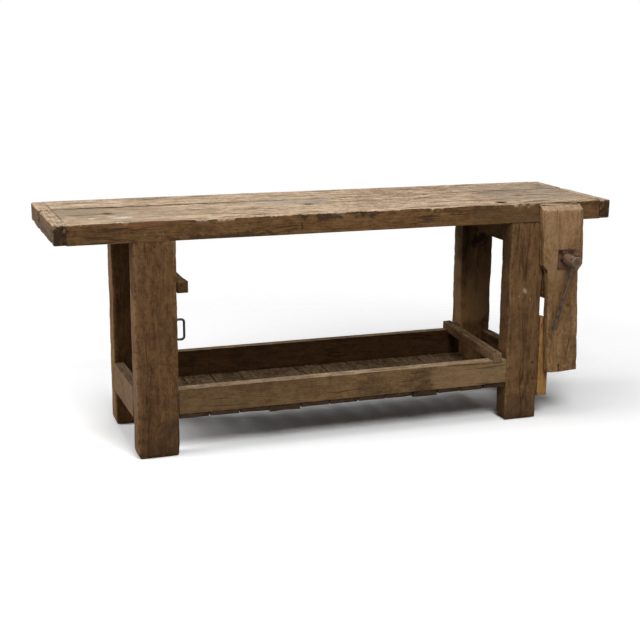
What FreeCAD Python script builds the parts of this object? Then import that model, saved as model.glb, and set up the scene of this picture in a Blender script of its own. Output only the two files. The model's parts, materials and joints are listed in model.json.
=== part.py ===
import FreeCAD, Part
import os
import re
import Sketcher
from FreeCAD import Placement, Rotation, Vector

# An old woodworking bench: a two-plank top with end caps, four board legs in two end frames, a tool tray
# between them, and a leg vise on the right front leg. Sizes are in millimetres. X runs along the bench to
# the right as seen from the front, Y runs to the back and Z up. The origin is on the floor, in the middle
# of the bench's whole outline, which reaches forward to the end of the vise screw.

# Driving sizes, by the piece that they belong to

TOP_SIZES = {
    "bench_length": 2000.0,
    "bench_height": 800.0,
    "top_depth": 540.0,
    "top_thick": 67.0,
    "front_plank_width": 335.0,
    "seam_gap": 1.5,
    "cap_width": 42.0,
    "tongue_length": 20.0,
    "tongue_thick": 22.0,
    "hold_radius": 13.0,
    "hold_left_along": 208.0,
    "hold_left_back": 205.0,
    "hold_middle_along": 918.0,
    "hold_middle_back": 217.0,
    "hold_right_along": 1584.0,
    "hold_right_back": 55.0,
    "dowel_radius": 9.0,
    "dowel_depth": 40.0,
}

LEG_SIZES = {
    "leg_depth": 72.0,
    "left_leg_width": 142.0,
    "right_leg_width": 131.0,
    "left_leg_inset": 250.0,
    "right_leg_inset": 264.0,
    "frame_depth": 468.0,
    "leg_tenon_thick": 30.0,
    "leg_tenon_height": 45.0,
    "leg_tenon_shoulder": 20.0,
    "peg_radius": 5.0,
    "peg_length": 60.0,
    "peg_rise": 24.0,
    "peg_fit": 0.05,
    "mortise_gap": 2.0,
}

FRAME_SIZES = {
    "stretcher_thick": 35.0,
    "stretcher_tall": 105.0,
    "left_stretcher_top": 233.0,
    "right_stretcher_top": 243.0,
    "stretcher_tenon_thick": 15.0,
    "stretcher_shoulder": 15.0,
    "stretcher_tenon_length": 40.0,
    "upper_rail_thick": 40.0,
    "upper_rail_tall": 94.0,
    "left_rail_setback": 27.0,
    "right_rail_setback": 57.0,
    "upper_tenon_thick": 16.0,
    "upper_shoulder": 16.0,
    "upper_tenon_length": 40.0,
}

TRAY_SIZES = {
    "tray_front_top": 232.0,
    "tray_front_tall": 86.0,
    "tray_front_thick": 44.0,
    "tray_rear_top": 255.0,
    "tray_rear_tall": 94.0,
    "tray_rear_thick": 34.0,
    "rail_tenon_thick": 16.0,
    "rail_shoulder": 16.0,
    "rail_tenon_length": 35.0,
    "board_thick": 17.0,
    "heavy_board_thick": 23.0,
    "board_gap": 1.5,
    "end_bar_width": 34.0,
    "end_bar_tall": 37.0,
    "end_bar_let_in": 10.0,
    "end_bar_from_leg": 18.0,
    "end_bar_overhang": 10.0,
}

FIXING_SIZES = {
    "nail_radius": 2.0,
    "nail_head_radius": 4.5,
    "nail_head_thick": 1.5,
    "nail_bite": 30.0,
    "wood_screw_radius": 3.0,
    "wood_screw_head_radius": 6.0,
    "wood_screw_head_thick": 2.5,
    "wood_screw_bite": 28.0,
    "cut_overrun": 5.0,
}

RUNNER_SIZES = {
    "runner_width": 39.0,
    "runner_tall": 41.0,
    "runner_drop": 135.0,
    "runner_setback": 4.0,
    "staple_wire_radius": 4.0,
    "staple_tall": 76.0,
    "staple_reach": 33.0,
    "staple_bite": 25.0,
    "staple_bend": 10.0,
    "staple_drop": 266.0,
}

VISE_SIZES = {
    "screw_from_right": 190.0,
    "screw_drop": 134.0,
    "nut_block_width": 124.0,
    "nut_block_tall": 279.0,
    "block_dowel_low": 60.0,
    "block_dowel_high": 70.0,
    "packing_width": 40.0,
    "packing_depth": 60.0,
    "packing_bottom": 83.0,
    "slot_tall": 70.0,
    "packing_nail_inset": 55.0,
    "chop_thick": 34.0,
    "chop_top_drop": 4.0,
    "chop_facet_fall": 20.0,
    "chop_facet_flat": 4.0,
    "chop_head_width": 160.0,
    "chop_foot_width": 124.0,
    "chop_shoulder_drop": 22.0,
    "chop_shoulder_tall": 26.0,
    "chop_bottom": 177.0,
    "chop_offset": 12.0,
    "closed_gap": 0.5,
    "plate_side": 70.0,
    "plate_thick": 4.0,
    "plate_nail_inset": 8.0,
    "head_radius": 19.0,
    "head_length": 68.0,
    "head_bevel": 2.0,
    "turning_gap": 0.4,
    "shank_radius": 17.0,
    "collar_radius": 25.0,
    "collar_thick": 10.0,
    "collar_pocket": 13.0,
    "collar_pin_radius": 2.5,
    "thread_radius": 16.0,
    "thread_root_radius": 13.0,
    "thread_sink": 0.5,
    "thread_pitch": 8.0,
    "ridge_root_width": 4.0,
    "ridge_crest_width": 3.2,
    "thread_gap": 0.4,
    "screw_travel": 160.0,
    "screw_tail": 6.0,
    "nut_radius": 27.0,
    "nut_tall": 56.0,
    "nut_flange_side": 80.0,
    "nut_flange_thick": 8.0,
    "nut_screw_inset": 10.0,
    "tommy_radius": 6.0,
    "tommy_reach": 252.0,
    "tommy_from_end": 13.0,
    "tommy_end_radius": 4.0,
    "knob_radius": 10.5,
    "knob_tall": 11.0,
    "knob_bevel": 3.0,
}

# Slopes and angles, which keep their value when every length is scaled

SHAPE_VALUES = {
    "slot_fall_share": 0.3,
    "chop_lean_share": 0.042,
    "tommy_lean": 16.5,
    "peg_share": 0.3,
    "end_nail_share": 0.25,
}

# Sizes worked out from the driving ones

DERIVED_SIZES = {
    "left_end": "=-bench_length / 2",
    "vise_reach": "=closed_gap + chop_thick + plate_thick + turning_gap + head_length",
    "front_line": "=(vise_reach - top_depth) / 2",
    "leg_tall": "=bench_height - top_thick",
    "plank_length": "=bench_length - 2 * cap_width",
    "plank_left": "=left_end + cap_width",
    "rear_plank_width": "=top_depth - front_plank_width - seam_gap",
    "rear_plank_line": "=front_line + front_plank_width + seam_gap",
    "tongue_low": "=(top_thick - tongue_thick) / 2",
    "groove_depth": "=tongue_length + mortise_gap",
    "left_leg_at": "=left_end + left_leg_inset",
    "right_leg_at": "=-left_end - right_leg_inset - right_leg_width",
    "rear_leg_back": "=frame_depth - leg_depth",
    "rear_leg_line": "=front_line + rear_leg_back",
    "leg_tenon_back": "=(leg_depth - leg_tenon_thick) / 2",
    "clear_length": "=right_leg_at - left_leg_at - left_leg_width",
    "clear_left": "=left_leg_at + left_leg_width",
    "clear_depth": "=frame_depth - 2 * leg_depth",
    "inner_line": "=front_line + leg_depth",
    "tray_front_bottom": "=tray_front_top - tray_front_tall",
    "tray_rear_bottom": "=tray_rear_top - tray_rear_tall",
    "tray_rise": "=(tray_rear_bottom - tray_front_bottom) / rear_leg_back",
    "board_depth": "=rear_leg_back + tray_rear_thick",
    "end_bar_at": "=clear_length - end_bar_from_leg - end_bar_width",
    "end_bar_seat": "=tray_front_top - end_bar_let_in",
    "end_bar_rear_seat": "=tray_rear_top - end_bar_let_in",
    "end_bar_rise": "=(end_bar_rear_seat - end_bar_seat) / (board_depth + end_bar_overhang)",
    "runner_bottom": "=leg_tall - runner_drop - runner_tall",
    "staple_top": "=leg_tall - staple_drop",
    "post_right": "=right_leg_at + right_leg_width",
    "screw_line": "=-left_end - screw_from_right",
    "screw_height": "=leg_tall - screw_drop",
    "nut_block_bottom": "=leg_tall - nut_block_tall",
    "packing_top": "=nut_block_bottom - slot_tall",
    "block_axis": "=screw_line - post_right",
    "nut_rear": "=leg_depth + nut_flange_thick",
    "thread_end": "=nut_rear + screw_travel + screw_tail",
    "chop_front": "=closed_gap + chop_thick",
    "plate_front": "=chop_front + plate_thick",
    "head_seat": "=plate_front + turning_gap",
    "chop_rise": "=bench_height - chop_top_drop - screw_height",
    "chop_fall": "=screw_height - chop_bottom",
    "chop_foot_top": "=chop_shoulder_drop + chop_shoulder_tall",
    "collar_front": "=closed_gap + collar_pocket - turning_gap",
    "tommy_line": "=vise_reach - tommy_from_end",
    "knob_seat": "=head_radius + turning_gap",
}

# Widths of the tray boards from left to right, as shares of the clear length between the legs

BOARD_SHARES = (105, 105, 105, 113, 105, 105, 105, 105, 96, 89, 90, 90)
HEAVY_BOARDS = (3, 8)

# Places of the dowels between the two top planks, as shares of the plank length

DOWEL_SHARES = (0.06, 0.28, 0.5, 0.72, 0.94)

PLANES = {"XY": ("XY_Plane", 1), "XZ": ("XZ_Plane", -1), "YZ": ("YZ_Plane", 1)}

doc = FreeCAD.newDocument("bench")
sheet = doc.addObject("Spreadsheet::Sheet", "Sizes")
nodes = []


def fill_sheet():
    """Write every size into the sheet, one row each, with its name as alias."""
    row = 1
    groups = (TOP_SIZES, LEG_SIZES, FRAME_SIZES, TRAY_SIZES, FIXING_SIZES, RUNNER_SIZES, VISE_SIZES)
    for group in groups + (SHAPE_VALUES, DERIVED_SIZES):
        for name, value in group.items():
            sheet.set(f"A{row}", name)
            sheet.set(f"B{row}", str(value))
            sheet.setAlias(f"B{row}", name)
            row += 1
    doc.recompute()


def bound(text):
    """Turn names of sizes into references to the sheet."""
    return re.sub(r"[a-z][a-z_]+", lambda word: "Sizes." + word.group(), str(text))


def place(thing, x, y, z):
    """Bind the position of an object to the sheet."""
    for axis, text in (("x", x), ("y", y), ("z", z)):
        thing.setExpression(f"Placement.Base.{axis}", bound(text))


def rectangle(left, low, right, high):
    """Corners of a rectangle, counter-clockwise."""
    return [(left, low), (right, low), (right, high), (left, high)]


class Piece:
    """A solid built from sketched features in its own frame, then put in its place."""

    def __init__(self, label, x="0", y="0", z="0"):
        self.body = doc.addObject("PartDesign::Body", label)
        self.body.Label = label
        place(self.body, x, y, z)
        nodes.append(self.body)

    def sketch(self, plane, start):
        """A sketch parallel to one of the body's planes, moved along that plane's axis."""
        role, sign = PLANES[plane]
        sketch = self.body.newObject("Sketcher::SketchObject", f"{self.body.Label}_{plane}")
        support = next(item for item in self.body.Origin.OriginFeatures if item.Role == role)
        sketch.AttachmentSupport = [(support, "")]
        sketch.MapMode = "FlatFace"
        sketch.setExpression("AttachmentOffset.Base.z", bound(f"{sign} * ({start})"))
        return sketch

    def outline(self, plane, points, start):
        """A closed outline whose corners are bound to the sheet."""
        sketch = self.sketch(plane, start)
        count = len(points)
        turn = Rotation(Vector(0, 0, 1), 360 / count)
        corner = Vector(1, 0, 0)
        corners = []
        for _ in points:
            corners.append(corner)
            corner = turn.multVec(corner)
        for index in range(count):
            sketch.addGeometry(Part.LineSegment(corners[index], corners[(index + 1) % count]))
        for index in range(count):
            sketch.addConstraint(Sketcher.Constraint("Coincident", index, 2, (index + 1) % count, 1))
        for index, (across, along) in enumerate(points):
            self.pin_point(sketch, index, 1, across, along)
        return sketch

    @staticmethod
    def pin_point(sketch, geometry, end, across, along):
        """Hold one point of a sketch at a place given by two expressions."""
        for kind, text in (("DistanceX", across), ("DistanceY", along)):
            number = sketch.addConstraint(Sketcher.Constraint(kind, -1, 1, geometry, end, 1.0))
            sketch.setExpression(f"Constraints[{number}]", bound(text))

    def circles(self, plane, centres, radius, start):
        """Circles of one radius round the given centres."""
        sketch = self.sketch(plane, start)
        for index, (across, along) in enumerate(centres):
            sketch.addGeometry(Part.Circle(Vector(index, 0, 0), Vector(0, 0, 1), 1))
            self.pin_point(sketch, index, 3, across, along)
            number = sketch.addConstraint(Sketcher.Constraint("Radius", index, 1.0))
            sketch.setExpression(f"Constraints[{number}]", bound(radius))
        return sketch

    def extrude(self, kind, plane, sketch, length):
        """Pad or pocket a sketch towards the positive end of the plane's axis."""
        feature = self.body.newObject(f"PartDesign::{kind}", f"{self.body.Label}_{kind}")
        feature.Profile = sketch
        feature.setExpression("Length", bound(length))
        against = PLANES[plane][1] < 0
        feature.Reversed = against if kind == "Pad" else not against
        sketch.Visibility = False
        return feature

    def add(self, plane, points, start, length):
        return self.extrude("Pad", plane, self.outline(plane, points, start), length)

    def cut(self, plane, points, start, length):
        return self.extrude("Pocket", plane, self.outline(plane, points, start), length)

    def add_round(self, plane, centres, radius, start, length):
        return self.extrude("Pad", plane, self.circles(plane, centres, radius, start), length)

    def drill(self, plane, centres, radius, start, length):
        return self.extrude("Pocket", plane, self.circles(plane, centres, radius, start), length)

    def bevel(self, edges, size):
        """Chamfer edges of the piece as it stands."""
        doc.recompute()
        base = self.body.Tip
        feature = self.body.newObject("PartDesign::Chamfer", f"{self.body.Label}_Chamfer")
        feature.Base = (base, edges(base.Shape))
        feature.setExpression("Size", bound(size))
        return feature

    def thread(self, kind, profile, start, height):
        """Sweep a profile in the YZ plane along a right-hand helix about the body's Y axis."""
        sketch = self.outline("YZ", profile, start)
        feature = self.body.newObject(f"PartDesign::{kind}Helix", f"{self.body.Label}_Helix")
        feature.Profile = sketch
        axis = next(item for item in self.body.Origin.OriginFeatures if item.Role == "Y_Axis")
        feature.ReferenceAxis = (axis, [""])
        feature.Mode = "pitch-height-angle"
        feature.setExpression("Pitch", bound("thread_pitch"))
        feature.setExpression("Height", bound(height))
        feature.LeftHanded = False
        sketch.Visibility = False
        return feature


# Loose round pieces, which come in groups that share a node

DIRECTIONS = {
    "+X": Rotation(Vector(0, 1, 0), 90),
    "-X": Rotation(Vector(0, 1, 0), -90),
    "+Y": Rotation(Vector(1, 0, 0), -90),
    "-Y": Rotation(Vector(1, 0, 0), 90),
    "+Z": Rotation(),
    "-Z": Rotation(Vector(1, 0, 0), 180),
}


def rod(direction, x, y, z, radius, length):
    """A plain cylinder that starts at a point and runs in a direction."""
    cylinder = doc.addObject("Part::Cylinder", "rod")
    cylinder.Placement = Placement(Vector(), DIRECTIONS[direction])
    place(cylinder, x, y, z)
    cylinder.setExpression("Radius", bound(radius))
    cylinder.setExpression("Height", bound(length))
    return cylinder


def fuse(label, pieces):
    """Join overlapping primitives into one solid."""
    joined = doc.addObject("Part::MultiFuse", label)
    joined.Label = label
    joined.Shapes = pieces
    joined.Refine = True
    return joined


def headed(direction, x, y, z, sizes, length):
    """A nail or screw whose head lies on the surface at a point and whose shank runs into it."""
    opposite = direction.translate(str.maketrans("+-", "-+"))
    shank = rod(direction, x, y, z, f"{sizes}_radius", length)
    head = rod(opposite, x, y, z, f"{sizes}_head_radius", f"{sizes}_head_thick")
    return fuse(f"{sizes}", [shank, head])


def group(label, members):
    """Identical loose pieces as one node."""
    compound = doc.addObject("Part::Compound", label)
    compound.Label = label
    compound.Links = members
    nodes.append(compound)


# Places that several pieces share

NAIL_HOLE = "nail_radius + peg_fit"
PEG_HOLE = "peg_radius + peg_fit"
SCREW_HOLE = "wood_screw_radius + peg_fit"
DOWEL_HOLE = "dowel_radius + peg_fit"
BOARD_TOTAL = sum(BOARD_SHARES)


def board_start(index):
    """Left edge of a tray board, from the left legs."""
    return f"clear_length * {sum(BOARD_SHARES[:index])} / {BOARD_TOTAL}"


def board_width(index):
    """Width of a tray board, less the gap to the next."""
    return f"clear_length * {BOARD_SHARES[index]} / {BOARD_TOTAL} - board_gap"


def board_centre(index):
    """Middle of a tray board, from the left legs."""
    return f"{board_start(index)} + ({board_width(index)}) / 2"


def peg_places(side):
    """Both pegs of a front leg, from the leg's left face."""
    return [f"{side}_leg_width * peg_share", f"{side}_leg_width * (1 - peg_share)"]


def end_nail_places(width):
    """Both nails of an end cap, from its front end."""
    return [f"{width} * end_nail_share", f"{width} * (1 - end_nail_share)"]


def tenon_hole(left, back, width):
    """Mortise outline in a plank for a tenon on a post of the given width."""
    near = f"{back} + leg_tenon_back"
    far = f"{near} + leg_tenon_thick"
    return rectangle(f"{left} + leg_tenon_shoulder", near, f"{left} + {width} - leg_tenon_shoulder", far)


# The top

def top_plank(label, line, width, back, seam_start):
    """A plank with end tongues, leg mortises and holes for the cap nails and plank dowels."""
    plank = Piece(label, "plank_left", line, "leg_tall")
    plank.add("XY", rectangle("0", "0", "plank_length", width), "0", "top_thick")
    tongue = rectangle("0", "tongue_low", width, "tongue_low + tongue_thick")
    plank.add("YZ", tongue, "-tongue_length", "plank_length + 2 * tongue_length")
    for side in ("left", "right"):
        mortise = tenon_hole(f"{side}_leg_at - plank_left", back, f"{side}_leg_width")
        plank.cut("XY", mortise, "0", "leg_tenon_height + mortise_gap")
    nails = [(text, "top_thick / 2") for text in end_nail_places(width)]
    reach = "tongue_length + nail_bite"
    plank.drill("YZ", nails, NAIL_HOLE, "-tongue_length", reach)
    plank.drill("YZ", nails, NAIL_HOLE, "plank_length - nail_bite", reach)
    dowels = [(f"plank_length * {share}", "top_thick / 2") for share in DOWEL_SHARES]
    plank.drill("XZ", dowels, DOWEL_HOLE, seam_start, "dowel_depth")
    return plank


def front_plank():
    """The wide front plank, with the holdfast holes, peg holes and the mortise of the nut block."""
    width = "front_plank_width"
    plank = top_plank("top_front_plank", "front_line", width, "0", f"{width} - dowel_depth")
    block = tenon_hole("post_right - plank_left", "0", "nut_block_width")
    plank.cut("XY", block, "0", "leg_tenon_height + mortise_gap")
    holds = [(f"hold_{name}_along - cap_width", f"hold_{name}_back") for name in ("left", "middle", "right")]
    plank.drill("XY", holds, "hold_radius", "-cut_overrun", "top_thick + 2 * cut_overrun")
    for side in ("left", "right"):
        pegs = [(f"{side}_leg_at - plank_left + {text}", "peg_rise") for text in peg_places(side)]
        plank.drill("XZ", pegs, PEG_HOLE, "0", "peg_length")


def rear_plank():
    """The narrow rear plank."""
    back = "rear_leg_line - rear_plank_line"
    top_plank("top_rear_plank", "rear_plank_line", "rear_plank_width", back, "0")


def end_cap(side, end, line, width):
    """One length of an end cap: a batten grooved over the tongue of its plank."""
    left = side == "left"
    cap = Piece(f"{side}_cap_{end}", "left_end" if left else "-left_end - cap_width", line, "leg_tall")
    cap.add("XY", rectangle("0", "0", "cap_width", width), "0", "top_thick")
    low, high = ("cap_width - groove_depth", "cap_width") if left else ("0", "groove_depth")
    groove = rectangle(low, "tongue_low", high, "tongue_low + tongue_thick")
    cap.cut("XZ", groove, "0", width)
    nails = [(text, "top_thick / 2") for text in end_nail_places(width)]
    cap.drill("YZ", nails, NAIL_HOLE, "-cut_overrun", "cap_width + 2 * cut_overrun")
    recess = "0" if left else "cap_width - nail_head_thick"
    cap.drill("YZ", nails, "nail_head_radius + peg_fit", recess, "nail_head_thick")


def top_fixings():
    """Nails of the end caps, dowels in the seam and pegs through the leg tenons."""
    nails = []
    for line, width in (("front_line", "front_plank_width"), ("rear_plank_line", "rear_plank_width")):
        for text in end_nail_places(width):
            length = "cap_width + nail_bite - nail_head_thick"
            spot = (f"{line} + {text}", "leg_tall + top_thick / 2", "nail", length)
            nails.append(headed("+X", "left_end + nail_head_thick", *spot))
            nails.append(headed("-X", "-left_end - nail_head_thick", *spot))
    group("cap_nails", nails)
    seam = "front_line + front_plank_width - dowel_depth"
    dowels = []
    for share in DOWEL_SHARES:
        along = f"plank_left + plank_length * {share}"
        length = "2 * dowel_depth + seam_gap"
        dowels.append(rod("+Y", along, seam, "leg_tall + top_thick / 2", "dowel_radius", length))
    group("plank_dowels", dowels)
    pegs = []
    for side in ("left", "right"):
        for text in peg_places(side):
            along = f"{side}_leg_at + {text}"
            pegs.append(rod("+Y", along, "front_line", "leg_tall + peg_rise", "peg_radius", "peg_length"))
    group("leg_pegs", pegs)


# The end frames

def stretcher_span(side):
    """Left and right side of a lower stretcher, from the left face of its legs."""
    if side == "left":
        return "0", "stretcher_thick"
    return "right_leg_width - stretcher_thick", "right_leg_width"


def upper_span(side):
    """Left and right side of an upper rail, from the left face of its legs."""
    if side == "left":
        inner = "left_leg_width - left_rail_setback"
        return f"{inner} - upper_rail_thick", inner
    return "right_rail_setback", "right_rail_setback + upper_rail_thick"


def middle_strip(span, thick):
    """A strip of the given thickness in the middle of a span."""
    left, right = span
    middle = f"({left} + {right}) / 2"
    return f"{middle} - {thick} / 2", f"{middle} + {thick} / 2"


def leg(side, end):
    """A leg board with a tenon for the top and mortises for stretcher, upper rail and tray rail."""
    front = end == "front"
    width = f"{side}_leg_width"
    post = Piece(f"{end}_{side}_leg", f"{side}_leg_at", "front_line" if front else "rear_leg_line")
    post.add("XY", rectangle("0", "0", width, "leg_depth"), "0", "leg_tall")
    post.add("XY", tenon_hole("0", "0", width), "leg_tall", "leg_tenon_height")
    low, high = middle_strip(stretcher_span(side), "stretcher_tenon_thick")
    top = f"{side}_stretcher_top"
    slot = rectangle(low, f"{top} - stretcher_tall + stretcher_shoulder", high, f"{top} - stretcher_shoulder")
    depth = "stretcher_tenon_length + mortise_gap"
    post.cut("XZ", slot, f"leg_depth - ({depth})" if front else "0", depth)
    low, high = middle_strip(upper_span(side), "upper_tenon_thick")
    slot = rectangle(low, "leg_tall - upper_rail_tall + upper_shoulder", high, "leg_tall - upper_shoulder")
    depth = "upper_tenon_length + mortise_gap"
    post.cut("XZ", slot, f"leg_depth - ({depth})" if front else "0", depth)
    low, high = middle_strip(("0", f"tray_{end}_thick"), "rail_tenon_thick")
    slot = rectangle(low, f"tray_{end}_bottom + rail_shoulder", high, f"tray_{end}_top - rail_shoulder")
    depth = "rail_tenon_length + mortise_gap"
    post.cut("YZ", slot, f"{width} - ({depth})" if side == "left" else "0", depth)
    if side == "left":
        screw = [("leg_depth / 2", "runner_bottom + runner_tall / 2")]
        post.drill("YZ", screw, SCREW_HOLE, f"{width} - wood_screw_bite", "wood_screw_bite")
    if front:
        pegs = [(text, "leg_tall + peg_rise") for text in peg_places(side)]
        post.drill("XZ", pegs, PEG_HOLE, "0", "leg_depth")
    return post


def legs():
    """All four legs, with the staple's holes in one and the vise fixings' holes in another."""
    for side in ("left", "right"):
        leg(side, "rear")
    left = leg("left", "front")
    arms = [("leg_depth / 2", "staple_top - staple_wire_radius")]
    arms.append(("leg_depth / 2", "staple_top - staple_tall + staple_wire_radius"))
    left.drill("YZ", arms, "staple_wire_radius + peg_fit", "left_leg_width - staple_bite", "staple_bite")
    right = leg("right", "front")
    right.drill("YZ", block_dowel_places(), DOWEL_HOLE, "right_leg_width - dowel_depth", "dowel_depth")
    right.drill("YZ", packing_nail_places(), NAIL_HOLE, "right_leg_width - nail_bite", "nail_bite")


def stretcher(side):
    """A lower stretcher flush with the outer faces of its two legs."""
    left, right = stretcher_span(side)
    bottom = f"{side}_stretcher_top - stretcher_tall"
    piece = Piece(f"{side}_stretcher", f"{side}_leg_at", "inner_line", bottom)
    piece.add("XZ", rectangle(left, "0", right, "stretcher_tall"), "0", "clear_depth")
    low, high = middle_strip((left, right), "stretcher_tenon_thick")
    tenon = rectangle(low, "stretcher_shoulder", high, "stretcher_tall - stretcher_shoulder")
    piece.add("XZ", tenon, "-stretcher_tenon_length", "clear_depth + 2 * stretcher_tenon_length")


def upper_rail(side):
    """An upper rail under the top, set back from the inner faces of its two legs."""
    left, right = upper_span(side)
    piece = Piece(f"{side}_upper_rail", f"{side}_leg_at", "inner_line", "leg_tall - upper_rail_tall")
    piece.add("XZ", rectangle(left, "0", right, "upper_rail_tall"), "0", "clear_depth")
    low, high = middle_strip((left, right), "upper_tenon_thick")
    tenon = rectangle(low, "upper_shoulder", high, "upper_rail_tall - upper_shoulder")
    piece.add("XZ", tenon, "-upper_tenon_length", "clear_depth + 2 * upper_tenon_length")


# The tool tray

def tray_rail(end):
    """A tray rail with end tenons, a housing for the end bar and holes for the board nails."""
    thick = f"tray_{end}_thick"
    tall = f"tray_{end}_tall"
    line = "front_line" if end == "front" else "rear_leg_line"
    rail = Piece(f"tray_{end}_rail", "clear_left", line, f"tray_{end}_bottom")
    profile = [("0", "0"), (thick, f"{thick} * tray_rise"), (thick, tall), ("0", tall)]
    rail.add("YZ", profile, "0", "clear_length")
    low, high = middle_strip(("0", thick), "rail_tenon_thick")
    tenon = rectangle(low, "rail_shoulder", high, f"{tall} - rail_shoulder")
    rail.add("YZ", tenon, "-rail_tenon_length", "clear_length + 2 * rail_tenon_length")
    housing = rectangle("end_bar_at", f"{tall} - end_bar_let_in", "end_bar_at + end_bar_width", tall)
    rail.cut("XZ", housing, "0", thick)
    nails = [(board_centre(index), f"{thick} / 2") for index in range(len(BOARD_SHARES))]
    rail.drill("XY", nails, NAIL_HOLE, "-cut_overrun", "nail_bite + cut_overrun")
    bar_nail = [("end_bar_at + end_bar_width / 2", f"{thick} / 2")]
    rail.drill("XY", bar_nail, NAIL_HOLE, f"{tall} - end_bar_let_in - nail_bite", "nail_bite")


def board_nail_lines():
    """Distances of the two rows of board nails from the front of the tray."""
    return "tray_front_thick / 2", "rear_leg_back + tray_rear_thick / 2"


def board_thickness(index):
    """Most boards are of one thickness, and two are heavier."""
    return "heavy_board_thick" if index in HEAVY_BOARDS else "board_thick"


def tray_board(index):
    """A cross board nailed up under both rails, rising to the back as they do."""
    thick = board_thickness(index)
    width = board_width(index)
    left = f"clear_left + {board_start(index)}"
    board = Piece(f"tray_board_{index + 1:02d}", left, "front_line", "tray_front_bottom")
    rear = "board_depth * tray_rise"
    lower = [("0", f"-({thick})"), ("board_depth", f"{rear} - ({thick})")]
    profile = lower + [("board_depth", rear), ("0", "0")]
    board.add("YZ", profile, "0", width)
    nails = [(f"({width}) / 2", line) for line in board_nail_lines()]
    through = f"{thick} + {rear} + 2 * cut_overrun"
    board.drill("XY", nails, NAIL_HOLE, f"-({thick}) - cut_overrun", through)


def end_bar():
    """A square bar let into both rails beside the right legs, sloping with the tray."""
    bar = Piece("tray_end_bar", "clear_left + end_bar_at", "front_line")
    rear = "board_depth + end_bar_overhang"
    profile = [
        ("0", "end_bar_seat"),
        ("tray_front_thick", "end_bar_seat"),
        ("rear_leg_back", "end_bar_rear_seat"),
        (rear, "end_bar_rear_seat"),
        (rear, "end_bar_rear_seat + end_bar_tall"),
        ("0", "end_bar_seat + end_bar_tall"),
    ]
    bar.add("YZ", profile, "0", "end_bar_width")
    nails = [("end_bar_width / 2", line) for line in board_nail_lines()]
    bar.drill("XY", nails, NAIL_HOLE, "end_bar_seat - cut_overrun", "2 * end_bar_tall + 2 * cut_overrun")


def tray_fixings():
    """Nails up through the boards into the rails, and down through the end bar."""
    nails = []
    for index in range(len(BOARD_SHARES)):
        along = f"clear_left + {board_centre(index)}"
        for line, bottom in zip(board_nail_lines(), ("tray_front_bottom", "tray_rear_bottom")):
            level = f"tray_front_bottom + ({line}) * tray_rise"
            low = f"{level} - ({board_thickness(index)}) - nail_head_radius * tray_rise"
            length = f"{bottom} + nail_bite - cut_overrun - ({low})"
            nails.append(headed("+Z", along, f"front_line + {line}", low, "nail", length))
    group("tray_nails", nails)
    bar_nails = []
    along = "clear_left + end_bar_at + end_bar_width / 2"
    for line, seat in zip(board_nail_lines(), ("end_bar_seat", "end_bar_rear_seat")):
        top = f"end_bar_seat + end_bar_tall + ({line} + nail_head_radius) * end_bar_rise"
        length = f"{top} - {seat} + nail_bite - cut_overrun"
        bar_nails.append(headed("-Z", along, f"front_line + {line}", top, "nail", length))
    group("end_bar_nails", bar_nails)


# Fixings seen on the left legs

def drawer_runner():
    """A square runner screwed to the inner faces of both left legs, with its two screws."""
    length = "frame_depth - 2 * runner_setback"
    runner = Piece("drawer_runner", "clear_left", "front_line + runner_setback", "runner_bottom")
    runner.add("YZ", rectangle("0", "0", length, "runner_tall"), "0", "runner_width")
    near = "leg_depth / 2 - runner_setback"
    screws = [(near, "runner_tall / 2"), (f"{length} - ({near})", "runner_tall / 2")]
    runner.drill("YZ", screws, SCREW_HOLE, "-cut_overrun", "runner_width + 2 * cut_overrun")
    height = "runner_bottom + runner_tall / 2"
    heads = []
    for line in ("front_line + leg_depth / 2", "rear_leg_line + leg_depth / 2"):
        spot = ("clear_left + runner_width", line, height, "wood_screw", "runner_width + wood_screw_bite")
        heads.append(headed("-X", *spot))
    group("runner_screws", heads)


def iron_staple():
    """A D-shaped loop of round iron driven into the inner face of the front left leg."""
    line = "front_line + leg_depth / 2"
    upper = "staple_top - staple_wire_radius"
    lower = "staple_top - staple_tall + staple_wire_radius"
    arm = "staple_bite + staple_reach - staple_wire_radius - staple_bend"
    root = "clear_left - staple_bite"
    bend_at = f"{root} + {arm}"
    outer = f"{bend_at} + staple_bend"
    rise = "staple_tall - 2 * staple_wire_radius - 2 * staple_bend"
    pieces = [rod("+X", root, line, height, "staple_wire_radius", arm) for height in (upper, lower)]
    pieces.append(rod("+Z", outer, line, f"{lower} + staple_bend", "staple_wire_radius", rise))
    quarter = 90
    for height, start in ((f"{upper} - staple_bend", 0), (f"{lower} + staple_bend", -quarter)):
        bend = doc.addObject("Part::Torus", "bend")
        bend.setExpression("Radius1", bound("staple_bend"))
        bend.setExpression("Radius2", bound("staple_wire_radius"))
        bend.Angle3 = quarter
        bend.Placement = Placement(Vector(), DIRECTIONS["-Y"] * Rotation(Vector(0, 0, 1), start))
        place(bend, bend_at, line, height)
        pieces.append(bend)
    nodes.append(fuse("iron_staple", pieces))


# The fixed side of the vise

def block_dowel_places():
    """Both dowels between the nut block and its leg, from the leg's front face and the floor."""
    low = "nut_block_bottom + block_dowel_low"
    return [("leg_depth / 2", low), ("leg_depth / 2", "leg_tall - block_dowel_high")]


def packing_nail_places():
    """Both nails of the packing board, from the leg's front face and the floor."""
    low = "packing_bottom + packing_nail_inset"
    return [("packing_depth / 2", low), ("packing_depth / 2", "packing_top - packing_nail_inset")]


def nut_screw_places():
    """The four screws of the nut's flange, from the screw's axis."""
    reach = "(nut_flange_side / 2 - nut_screw_inset)"
    return [(f"{a} * {reach}", f"{b} * {reach}") for a in (-1, 1) for b in (-1, 1)]


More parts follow.
